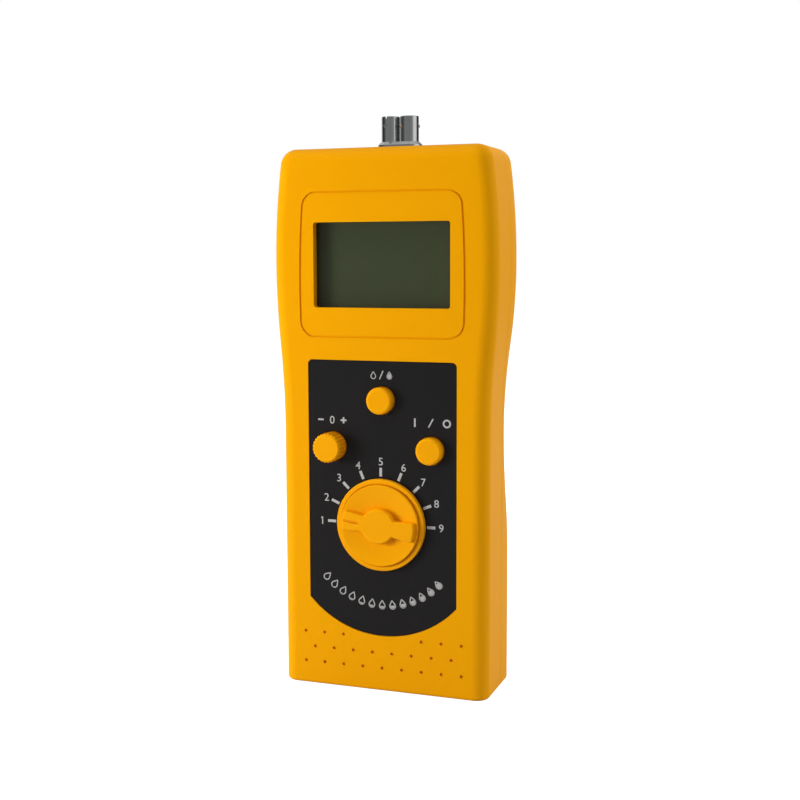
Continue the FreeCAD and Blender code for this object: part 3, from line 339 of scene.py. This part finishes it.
def touched_gloss():
    """Group: faint uneven gloss, as on a surface that has been handled."""
    known = bpy.data.node_groups.get("Touched Gloss")
    if known:
        return known
    tree, given, result = new_group(
        "Touched Gloss", [("Roughness", FLOAT, 0.1), ("Marks", FLOAT, 0.1), ("Mark Scale", FLOAT, 60.0)],
        [("Roughness", FLOAT), ("Height", FLOAT)])
    place = place_of(tree)
    cloud = noise(tree, place, given["Mark Scale"], 4.0)
    marks = figure(tree, "MULTIPLY", figure(tree, "POWER", cloud, 2.0), given["Marks"])
    tree.links.new(figure(tree, "ADD", marks, given["Roughness"]), result["Roughness"])
    tree.links.new(noise(tree, place, 2500.0, 1.0), result["Height"])
    return tree


# Materials

def new_material(name):
    material = bpy.data.materials.new(name)
    material.use_nodes = True
    tree = material.node_tree
    return material, tree, tree.nodes["Principled BSDF"]


def use_group(tree, group, **inputs):
    return add(tree, "ShaderNodeGroup", {"node_tree": group}, **inputs).outputs


def handled(tree, shader, **gloss):
    """Gives a shader the uneven gloss of a handled surface, and gives that surface's height."""
    surface = use_group(tree, touched_gloss(), **gloss)
    tree.links.new(surface["Roughness"], shader.inputs["Roughness"])
    return surface["Height"]


def raise_surface(tree, shader, height, depth):
    bump = add(tree, "ShaderNodeBump", {}, Height=height, Distance=depth, Strength=1.0)
    tree.links.new(bump.outputs["Normal"], shader.inputs["Normal"])


def plastic(name, colour, deep_colour, roughness, grain=0.0003, grain_depth=0.000004, specular=0.5):
    """Moulded plastic, with a soft flow of tone and a fine grain."""
    material, tree, shader = new_material(name)
    skin = use_group(tree, moulded_skin(), Colour=opaque(colour), Deep_Colour=opaque(deep_colour),
                     Grain_Scale=1 / grain, Roughness=roughness)
    tree.links.new(skin["Colour"], shader.inputs["Base Color"])
    tree.links.new(skin["Roughness"], shader.inputs["Roughness"])
    shader.inputs["Specular IOR Level"].default_value = specular
    raise_surface(tree, shader, skin["Height"], grain_depth)
    return material


def metal(name, colour, roughness, pitch):
    """Plated and turned metal."""
    material, tree, shader = new_material(name)
    shader.inputs["Metallic"].default_value = 1.0
    lines = use_group(tree, turned_lines(), Colour=opaque(colour), Line_Scale=0.3 / pitch,
                      Roughness=roughness)
    tree.links.new(lines["Colour"], shader.inputs["Base Color"])
    tree.links.new(lines["Roughness"], shader.inputs["Roughness"])
    raise_surface(tree, shader, lines["Height"], 0.000002)
    return material


def dressed(node, material):
    """Gives a node of the frame its material."""
    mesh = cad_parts[node].data
    mesh.materials.clear()
    mesh.materials.append(material)


def dress_all(nodes, material):
    for node in nodes:
        dressed(node, material)


# Printed marks: flat shapes in the panel's own plane, x to the right and z up, raised by the ink

def bar(start, end, width):
    """A straight stroke from start to end."""
    start, end = Vector(start), Vector(end)
    side = (end - start).orthogonal().normalized() * width / 2
    return [[start + side, end + side, end - side, start - side]]


def ring(centre, radius, width, first=0.0, last=math.tau, steps=28):
    """A round stroke about centre, as a run of quads."""
    quads = []
    for step in range(steps):
        turn = [first + (last - first) * (step + end) / steps for end in (0, 1)]
        inner, outer = [
            [Vector(centre) + Vector((math.cos(a), math.sin(a))) * (radius + width * side) for a in turn]
            for side in (-0.5, 0.5)]
        quads.append([inner[0], outer[0], outer[1], inner[1]])
    return quads


def moved(shapes, turn, place):
    """Shapes turned about their own origin and moved to place."""
    spin = Matrix.Rotation(turn, 2)
    return [[spin @ point + Vector(place) for point in shape] for shape in shapes]


def glyph(text, settings, centre):
    """The outline of one digit as flat faces, centred on centre."""
    curve = bpy.data.curves.new("glyph", "FONT")
    curve.body = text
    curve.offset = settings.boldness
    letter = bpy.data.objects.new("glyph", curve)
    bpy.context.scene.collection.objects.link(letter)
    bpy.context.view_layer.update()
    mesh = bpy.data.meshes.new_from_object(letter)
    points = [vertex.co.to_2d() for vertex in mesh.vertices]
    low = Vector((min(p.x for p in points), min(p.y for p in points)))
    high = Vector((max(p.x for p in points), max(p.y for p in points)))
    scale = settings.digit_height / (high.y - low.y)
    shapes = [[(points[index] - (low + high) / 2) * scale + Vector(centre) for index in face.vertices]
              for face in mesh.polygons]
    bpy.data.objects.remove(letter)
    bpy.data.curves.remove(curve)
    bpy.data.meshes.remove(mesh)
    return shapes


def one(settings, centre):
    """A figure one with a flag."""
    tall = settings.digit_height
    half, flag = Vector((0, tall / 2)), Vector((-1, -1)) * tall * ONE_FLAG_REACH
    stroke = tall * ONE_STROKE
    top = centre + half
    shoulder = top - Vector((stroke / 2, stroke / 2))
    return bar(centre - half, top, stroke) + bar(top + flag, shoulder, tall * ONE_FLAG_STROKE)


def printed(name, shapes, settings, material):
    """One raised print made of flat shapes on the control panel."""
    work = bmesh.new()
    surface = panel_surface()
    for shape in shapes:
        face = work.faces.new([work.verts.new((point.x, surface, point.y)) for point in shape])
        face.normal_update()
        if face.normal.y > 0:
            face.normal_flip()
    bmesh.ops.remove_doubles(work, verts=work.verts, dist=0.000002)
    raised = bmesh.ops.extrude_face_region(work, geom=work.faces[:])
    top = [item for item in raised["geom"] if isinstance(item, bmesh.types.BMVert)]
    bmesh.ops.translate(work, verts=top, vec=(0, -settings.ink_thickness, 0))
    bmesh.ops.recalc_face_normals(work, faces=work.faces[:])
    mesh = bpy.data.meshes.new(name)
    work.to_mesh(mesh)
    work.free()
    mesh.materials.append(material)
    piece = bpy.data.objects.new(name, mesh)
    bpy.context.scene.collection.objects.link(piece)
    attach(piece, "housing")
    return piece


def dial_direction(step, positions):
    """Unit vector from the dial's centre to a position: the first is on the left, the last on the right."""
    turn = math.pi * (1 - step / (positions - 1))
    return Vector((math.cos(turn), math.sin(turn)))


def dial_marks(settings):
    centre = Vector((DIAL_CENTRE.x + settings.sideways, DIAL_CENTRE.z))
    ticks, digits = [], []
    for step in range(settings.positions):
        way = dial_direction(step, settings.positions)
        ticks += bar(centre + way * settings.tick_inner, centre + way * settings.tick_outer,
                     settings.tick_width)
        place = centre + way * settings.digit_radius
        digits += glyph(str(step + 1), settings, place) if step else one(settings, place)
    return ticks, digits


def drop(height, fill):
    """A water drop standing on its own origin: an outline, filled from below up to fill."""
    radius = height * DROP_RADIUS
    middle = radius - height / 2
    tip = Vector((0, height / 2))
    lean = math.acos(radius / (tip.y - middle))
    touch = math.pi / 2 - lean
    width = height * DROP_STROKE
    shapes = ring((0, middle), radius - width / 2, width, math.pi - touch, math.tau + touch, DROP_STEPS)
    for side in (-1, 1):
        foot = Vector((side * math.cos(touch), math.sin(touch))) * (radius - width / 2) + Vector((0, middle))
        shapes += bar(foot, tip - Vector((0, width)), width)
    level = middle - radius + fill * radius * 2
    if fill > LEAST_FILL:
        half = math.sqrt(max(radius ** 2 - (level - middle) ** 2, 0)) if fill < 1 else 0
        start = math.atan2(level - middle, half)
        sweep = [start - (math.pi + 2 * start) * step / FILL_STEPS for step in range(FILL_STEPS + 1)]
        shapes.append([Vector((0, middle)) + Vector((math.cos(a), math.sin(a))) * (radius - width / 2)
                       for a in sweep])
    return shapes


def wet_scale(settings):
    """An arc of drops below the dial, from empty on the left to full on the right."""
    centre = Vector((DIAL_CENTRE.x, DIAL_CENTRE.z))
    shapes = []
    for step in range(settings.scale_drops):
        share = step / (settings.scale_drops - 1)
        turn = SCALE_START + SCALE_SWEEP * share
        place = centre + Vector((math.cos(turn), math.sin(turn))) * settings.scale_radius
        shapes += moved(drop(settings.drop_height, share), turn + math.pi / 2, place)
    return shapes


def symbol_place(node, gap, settings):
    """The middle of the symbols above a control."""
    low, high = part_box(node)
    return Vector(((low.x + high.x) / 2, high.z + gap + settings.symbol_height / 2))


def zero_symbols(settings):
    """Minus, nought and plus: turn the zero knob down or up."""
    place, tall = symbol_place("zero_knob", settings.zero_gap, settings), settings.symbol_height
    stroke, reach = tall * STROKE, tall * SIGN_REACH
    apart, half_bar = Vector((tall * SIGN_SPACING, 0)), Vector((reach, 0))
    minus, plus = place - apart, place + apart
    shapes = glyph("0", settings, place)
    for middle in (minus, plus):
        shapes += bar(middle - half_bar, middle + half_bar, stroke)
    for way in (-1, 1):
        shapes += bar(plus + Vector((0, way * stroke / 2)), plus + Vector((0, way * reach)), stroke)
    return shapes


def power_symbols(settings):
    """A stroke, a slash and a ring: on and off."""
    place, tall = symbol_place("power_button", settings.power_gap, settings), settings.symbol_height
    stroke, half = tall * STROKE, Vector((0, tall / 2))
    apart, lean = Vector((tall * POWER_SPACING, 0)), Vector((tall * SLASH_LEAN, 0))
    shapes = bar(place - half - apart, place + half - apart, stroke)
    shapes += bar(place - half - lean, place + half + lean, tall * SLASH_STROKE)
    return shapes + ring(place + apart, (tall - stroke) / 2, stroke)


def mode_symbols(settings):
    """An open and a filled drop with a slash between: the two measuring modes."""
    place, tall = symbol_place("mode_button", settings.mode_gap, settings), settings.symbol_height
    half, lean = Vector((0, tall / 2)), Vector((tall * MODE_SLASH_LEAN, 0))
    shapes = moved(drop(tall, 0.0), 0.0, place - Vector((tall, 0)))
    shapes += moved(drop(tall, 1.0), 0.0, place + Vector((tall, 0)))
    return shapes + bar(place - half - lean, place + half + lean, tall * MODE_SLASH_STROKE)


# Operators

class METER_OT_paint_housing(bpy.types.Operator):
    """Gives the two shells and the battery door their moulded orange finish"""
    bl_idname = "meter.paint_housing"
    bl_label = "Paint housing"

    def execute(self, context):
        finish = context.scene.meter_housing
        shell = plastic("Orange Housing", finish.colour, finish.deep_colour, finish.roughness, finish.grain,
                        specular=0.05)
        dress_all(("front_shell", "rear_shell", "battery_door"), shell)
        return {"FINISHED"}


class METER_OT_paint_controls(bpy.types.Operator):
    """Gives the selector, the zero knob and the two buttons their brighter orange finish"""
    bl_idname = "meter.paint_controls"
    bl_label = "Paint controls"

    def execute(self, context):
        finish = context.scene.meter_housing
        control = plastic("Orange Controls", finish.control_colour, finish.deep_colour, 0.34, finish.grain,
                          grain_depth=0.000002, specular=0.08)
        dress_all(("selector_knob", "zero_knob", "power_button", "mode_button"), control)
        return {"FINISHED"}


class METER_OT_print_panel(bpy.types.Operator):
    """Finishes the control panel's film and prints its dial, symbols and dry-to-wet scale"""
    bl_idname = "meter.print_panel"
    bl_label = "Print panel"

    def execute(self, context):
        settings = context.scene.meter_panel
        film = plastic("Panel Film", settings.film_colour, (0.015, 0.014, 0.014), 0.4, grain=0.00012,
                       grain_depth=0.000002, specular=0.12)
        dressed("control_panel", film)
        ink = plastic("Panel Ink", settings.ink_colour, (0.4, 0.4, 0.39), 0.55, grain=0.0001,
                      grain_depth=0.000002)
        ticks, digits = dial_marks(settings)
        printed("dial_ticks", ticks, settings, ink)
        printed("dial_digits", digits, settings, ink)
        printed("wet_scale", wet_scale(settings), settings, ink)
        printed("zero_symbols", zero_symbols(settings), settings, ink)
        printed("power_symbols", power_symbols(settings), settings, ink)
        printed("mode_symbols", mode_symbols(settings), settings, ink)
        return {"FINISHED"}


class METER_OT_glaze_display(bpy.types.Operator):
    """Finishes the clear window, the unlit display, its frame and its contact strips"""
    bl_idname = "meter.glaze_display"
    bl_label = "Glaze display"

    def execute(self, context):
        finish = context.scene.meter_display
        dressed("display_window", clear_window(finish))
        dressed("lcd_panel", unlit_display(finish))
        dressed("lcd_frame", plastic("Display Frame", finish.frame_colour, finish.frame_colour, 0.6))
        dressed("contact_strips", striped_rubber())
        return {"FINISHED"}


def clear_window(finish):
    """Clear acrylic: mostly see-through, with a faint tint and handled gloss."""
    material, tree, shader = new_material("Clear Window")
    shader.inputs["Specular IOR Level"].default_value = 0.8
    shader.inputs["Base Color"].default_value = opaque(finish.window_colour)
    shader.inputs["Alpha"].default_value = finish.window_alpha
    raise_surface(tree, shader, handled(tree, shader, Roughness=0.05, Marks=0.1), 0.0000005)
    return material


def unlit_display(finish):
    """Grey-green liquid crystal, finely grained, with painted shade that darkens it towards its top and
    bottom edges, standing in for the shadow of the window's recess.
    """
    material, tree, shader = new_material("Unlit Display")
    low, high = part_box("lcd_panel")
    rise = share_between(tree, axes_of(tree, place_of(tree))["Z"], low.z, high.z)
    from_middle = figure(tree, "ABSOLUTE", figure(tree, "SUBTRACT", rise, 0.5))
    # Painted shade: darker towards the display's top and bottom edges, standing in for the shadow that the
    # window's recess casts.
    edge = spread(tree, figure(tree, "MULTIPLY", from_middle, 2.0), 0.0, 0.55)
    colour = blend_colours(tree, edge, opaque(finish.glass_colour), opaque(finish.glass_shade_and_grain_colour))
    grain = noise(tree, place_of(tree), 9000.0, 0.0)
    colour = blend_colours(tree, spread(tree, grain, 0.0, 0.12), colour, opaque(finish.glass_shade_and_grain_colour))
    tree.links.new(colour, shader.inputs["Base Color"])
    handled(tree, shader, Roughness=0.5, Marks=0.1)
    shader.inputs["Specular IOR Level"].default_value = 0.1
    raise_surface(tree, shader, grain, 0.000001)
    return material


def striped_rubber():
    """Contact rubber: fine carbon layers in pale silicone."""
    material, tree, shader = new_material("Contact Rubber")
    layers = add(tree, "ShaderNodeTexWave", {"bands_direction": "X"}, Vector=place_of(tree), Scale=900.0)
    colour = blend_colours(tree, layers.outputs["Fac"], (0.55, 0.4, 0.42, 1), (0.03, 0.03, 0.03, 1))
    tree.links.new(colour, shader.inputs["Base Color"])
    handled(tree, shader, Roughness=0.6, Marks=0.2)
    raise_surface(tree, shader, layers.outputs["Fac"], 0.000003)
    return material


class METER_OT_plate_sockets(bpy.types.Operator):
    """Finishes the plated sockets, their insulators, contacts and clamp, and the screws"""
    bl_idname = "meter.plate_sockets"
    bl_label = "Plate sockets"

    def execute(self, context):
        finish = context.scene.meter_metal
        chrome = metal("Socket Chrome", finish.chrome_colour, finish.chrome_roughness, finish.turning_pitch)
        dress_all(("socket_barrel_left", "socket_barrel_right", "socket_flange", "socket_retainer"), chrome)
        brass = metal("Gold Contact", finish.brass_colour, 0.2, finish.turning_pitch)
        dress_all(("socket_contact_left", "socket_contact_right"), brass)
        white = plastic("White Insulator", (0.72, 0.7, 0.64), (0.66, 0.63, 0.56), 0.35)
        dress_all(("socket_insulator_left", "socket_insulator_right"), white)
        steel = metal("Zinc Screws", finish.steel_colour, 0.3, finish.turning_pitch)
        dress_all(("housing_screws", "board_screws", "rotary_switch_shaft"), steel)
        return {"FINISHED"}


class METER_OT_finish_electronics(bpy.types.Operator):
    """Finishes the circuit board, its components, the switches and the wires"""
    bl_idname = "meter.finish_electronics"
    bl_label = "Finish electronics"

    def execute(self, context):
        finish = context.scene.meter_metal
        dressed("main_board", circuit_board())
        black = plastic("Black Moulding", (0.02, 0.02, 0.022), (0.03, 0.03, 0.03), 0.5)
        dress_all(("main_chip", "amplifier_chip", "rotary_switch_body", "zero_pot_body", "power_switch",
                   "mode_switch", "battery_snap"), black)
        dressed("capacitors", plastic("Capacitor Sleeve", (0.02, 0.03, 0.09), (0.03, 0.04, 0.1), 0.35))
        dressed("trimmers", plastic("Blue Trimmer", (0.02, 0.09, 0.42), (0.02, 0.07, 0.35), 0.4))
        white = plastic("White Plungers", (0.75, 0.74, 0.7), (0.68, 0.67, 0.62), 0.4)
        dress_all(("zero_pot_shaft", "power_plunger", "mode_plunger"), white)
        dressed("crystal", metal("Crystal Can", (0.72, 0.72, 0.73), 0.25, finish.turning_pitch))
        nickel = metal("Nickel Terminals", (0.66, 0.63, 0.57), 0.25, finish.turning_pitch)
        dressed("battery_terminals", nickel)
        dressed("battery_9v", battery_jacket())
        dressed("battery_leads", wire_pair("Battery Wires", 1, "battery_leads"))
        dressed("probe_leads", wire_pair("Probe Wires", 0, "probe_leads"))
        return {"FINISHED"}


def circuit_board():
    """Green solder mask over copper tracks, with bare metal pads."""
    material, tree, shader = new_material("Circuit Board")
    place = place_of(tree)
    tracks = add(tree, "ShaderNodeTexBrick", {"offset": 0.37, "squash": 1.0}, Vector=place, Scale=180.0,
                 Mortar_Size=0.06, Mortar_Smooth=0.2, Brick_Width=1.7, Row_Height=0.31)
    pads = add(tree, "ShaderNodeTexVoronoi", {"feature": "F1"}, Vector=place, Scale=230.0)
    ring_mask = figure(tree, "LESS_THAN", pads.outputs["Distance"], 0.22)
    mask = blend_colours(tree, tracks.outputs["Fac"], (0.012, 0.085, 0.03, 1), (0.03, 0.17, 0.06, 1))
    colour = blend_colours(tree, ring_mask, mask, (0.62, 0.6, 0.55, 1))
    tree.links.new(colour, shader.inputs["Base Color"])
    tree.links.new(ring_mask, shader.inputs["Metallic"])
    tree.links.new(spread(tree, ring_mask, 0.32, 0.2), shader.inputs["Roughness"])
    raise_surface(tree, shader, figure(tree, "ADD", tracks.outputs["Fac"], ring_mask), 0.00003)
    return material


def battery_jacket():
    """A printed metal jacket: dark body with a plain coloured band at one end."""
    material, tree, shader = new_material("Battery Jacket")
    low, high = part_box("battery_9v")
    across = axes_of(tree, place_of(tree))["X"]
    band = figure(tree, "LESS_THAN", across, low.x + (high.x - low.x) * 0.3)
    colour = blend_colours(tree, band, (0.03, 0.035, 0.045, 1), (0.55, 0.3, 0.08, 1))
    tree.links.new(colour, shader.inputs["Base Color"])
    shader.inputs["Metallic"].default_value = 0.6
    raise_surface(tree, shader, handled(tree, shader, Roughness=0.25, Marks=0.2), 0.000002)
    return material


def wire_pair(name, axis, node):
    """Two insulated wires told apart by where they lie along one axis: one black, one red."""
    material, tree, shader = new_material(name)
    low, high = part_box(node)
    along = axes_of(tree, place_of(tree))[axis]
    second = figure(tree, "GREATER_THAN", along, (low[axis] + high[axis]) / 2)
    colour = blend_colours(tree, second, (0.015, 0.015, 0.016, 1), (0.45, 0.02, 0.015, 1))
    tree.links.new(colour, shader.inputs["Base Color"])
    height = handled(tree, shader, Roughness=0.35, Marks=0.15, Mark_Scale=400.0)
    raise_surface(tree, shader, height, 0.000004)
    return material


class METER_OT_set_stage(bpy.types.Operator):
    """Sets the pale floor, the soft lights, the surroundings and the camera"""
    bl_idname = "meter.set_stage"
    bl_label = "Set stage"

    def execute(self, context):
        stage = context.scene.meter_stage
        set_camera(context.scene, stage)
        set_floor(stage)
        set_lights(stage)
        set_surroundings(context.scene, stage)
        context.scene.view_settings.view_transform = "Standard"
        return {"FINISHED"}


def set_camera(scene, stage):
    lens = bpy.data.cameras.new("View")
    lens.lens = stage.lens
    lens.sensor_width = 36.0
    lens.clip_start = 0.01
    camera = bpy.data.objects.new("View", lens)
    camera.location = stage.camera_place
    camera.rotation_euler = Euler(stage.camera_turn)
    scene.collection.objects.link(camera)
    scene.camera = camera


def set_floor(stage):
    """A wide pale floor, lifted towards white where it is seen."""
    work = bmesh.new()
    bmesh.ops.create_grid(work, x_segments=8, y_segments=8, size=FLOOR_HALF)
    mesh = bpy.data.meshes.new("floor")
    work.to_mesh(mesh)
    work.free()
    material = plastic("Pale Floor", stage.floor_colour, stage.floor_colour, 0.9, grain=0.001,
                       grain_depth=0.000002, specular=0.0)
    tree, shader = material.node_tree, material.node_tree.nodes["Principled BSDF"]
    seen = add(tree, "ShaderNodeLightPath").outputs["Is Camera Ray"]
    glow = blend_colours(tree, seen, opaque((0.0, 0.0, 0.0)), opaque([stage.floor_glow] * 3))
    tree.links.new(glow, shader.inputs["Emission Color"])
    shader.inputs["Emission Strength"].default_value = 1.0
    mesh.materials.append(material)
    floor = bpy.data.objects.new("floor", mesh)
    bpy.context.scene.collection.objects.link(floor)


def soft_light(name, place, target, size, power):
    light = bpy.data.lights.new(name, "AREA")
    light.shape = "DISK"
    light.size = size
    light.energy = power
    lamp = bpy.data.objects.new(name, light)
    lamp.location = place
    lamp.visible_glossy = False
    lamp.rotation_euler = (Vector(target) - Vector(place)).to_track_quat("-Z", "Y").to_euler()
    bpy.context.scene.collection.objects.link(lamp)


def set_lights(stage):
    middle = (CAD_BOX[0] + CAD_BOX[1]) / 2
    for name, place, size, power in LIGHTS:
        soft_light(name, place, middle, size, getattr(stage, power))


def set_surroundings(scene, stage):
    """White to the eye, soft light from above and behind, and panels and flags for gloss to mirror."""
    world = bpy.data.worlds.new("Studio")
    world.use_nodes = True
    tree = world.node_tree
    path = add(tree, "ShaderNodeLightPath").outputs
    way = axes_of(tree, add(tree, "ShaderNodeTexCoord").outputs["Generated"])
    behind = share_between(tree, way["Y"], -0.7, 0.3)
    above = share_between(tree, way["Z"], 0.1, 0.9)
    soft = spread(tree, figure(tree, "MAXIMUM", behind, above), stage.front_share, 1.0)
    soft = figure(tree, "MULTIPLY", soft, stage.surround)
    round_about = figure(tree, "ARCTAN2", way["X"], figure(tree, "MULTIPLY", way["Y"], -1.0))
    ramp = add(tree, "ShaderNodeValToRGB", {}, Fac=share_between(tree, round_about, -math.pi, math.pi))
    stops = ramp.color_ramp.elements
    stops.remove(stops[-1])
    stops[0].position, stops[0].color = 0.0, opaque([MIRRORED[0][1]] * 3)
    for degrees, level in MIRRORED[1:]:
        stops.new((degrees + 180) / 360).color = opaque([level] * 3)
    overhead = figure(tree, "MULTIPLY", above, OVERHEAD_MIRRORED)
    mirrored = figure(tree, "MAXIMUM", ramp.outputs["Color"], overhead)
    unseen = spread(tree, path["Is Glossy Ray"], soft, mirrored)
    strength = spread(tree, path["Is Camera Ray"], unseen, 1.0)
    tree.links.new(strength, tree.nodes["Background"].inputs["Strength"])
    tree.nodes["Background"].inputs["Color"].default_value = (1, 1, 1, 1)
    scene.world = world


class METER_PT_looks(bpy.types.Panel):
    """Lists the meter's finishes and makers"""
    bl_label = "Moisture Meter"
    bl_idname = "METER_PT_looks"
    bl_space_type = "VIEW_3D"
    bl_region_type = "UI"
    bl_category = "Meter"

    def draw(self, context):
        for settings, owner in SETTINGS.items():
            box = self.layout.box()
            for name in owner.__annotations__:
                box.prop(getattr(context.scene, settings), name)
        for operator in OPERATORS:
            self.layout.operator(operator.bl_idname)


SETTINGS = {
    "meter_housing": HousingFinish,
    "meter_panel": PanelPrint,
    "meter_display": DisplayFinish,
    "meter_metal": MetalFinish,
    "meter_stage": StageSettings,
}
OPERATORS = (METER_OT_paint_housing, METER_OT_paint_controls, METER_OT_print_panel, METER_OT_glaze_display,
             METER_OT_plate_sockets, METER_OT_finish_electronics, METER_OT_set_stage)
CLASSES = (*SETTINGS.values(), *OPERATORS, METER_PT_looks)


def register():
    for item in CLASSES:
        bpy.utils.register_class(item)
    for name, owner in SETTINGS.items():
        setattr(bpy.types.Scene, name, PointerProperty(type=owner))


def unregister():
    for name in SETTINGS:
        delattr(bpy.types.Scene, name)
    for item in reversed(CLASSES):
        bpy.utils.unregister_class(item)


def main():
    register()
    bpy.ops.meter.set_stage()
    bpy.ops.meter.paint_housing()
    bpy.ops.meter.paint_controls()
    bpy.ops.meter.print_panel()
    bpy.ops.meter.glaze_display()
    bpy.ops.meter.plate_sockets()
    bpy.ops.meter.finish_electronics()


if __name__ == "__main__":
    main()
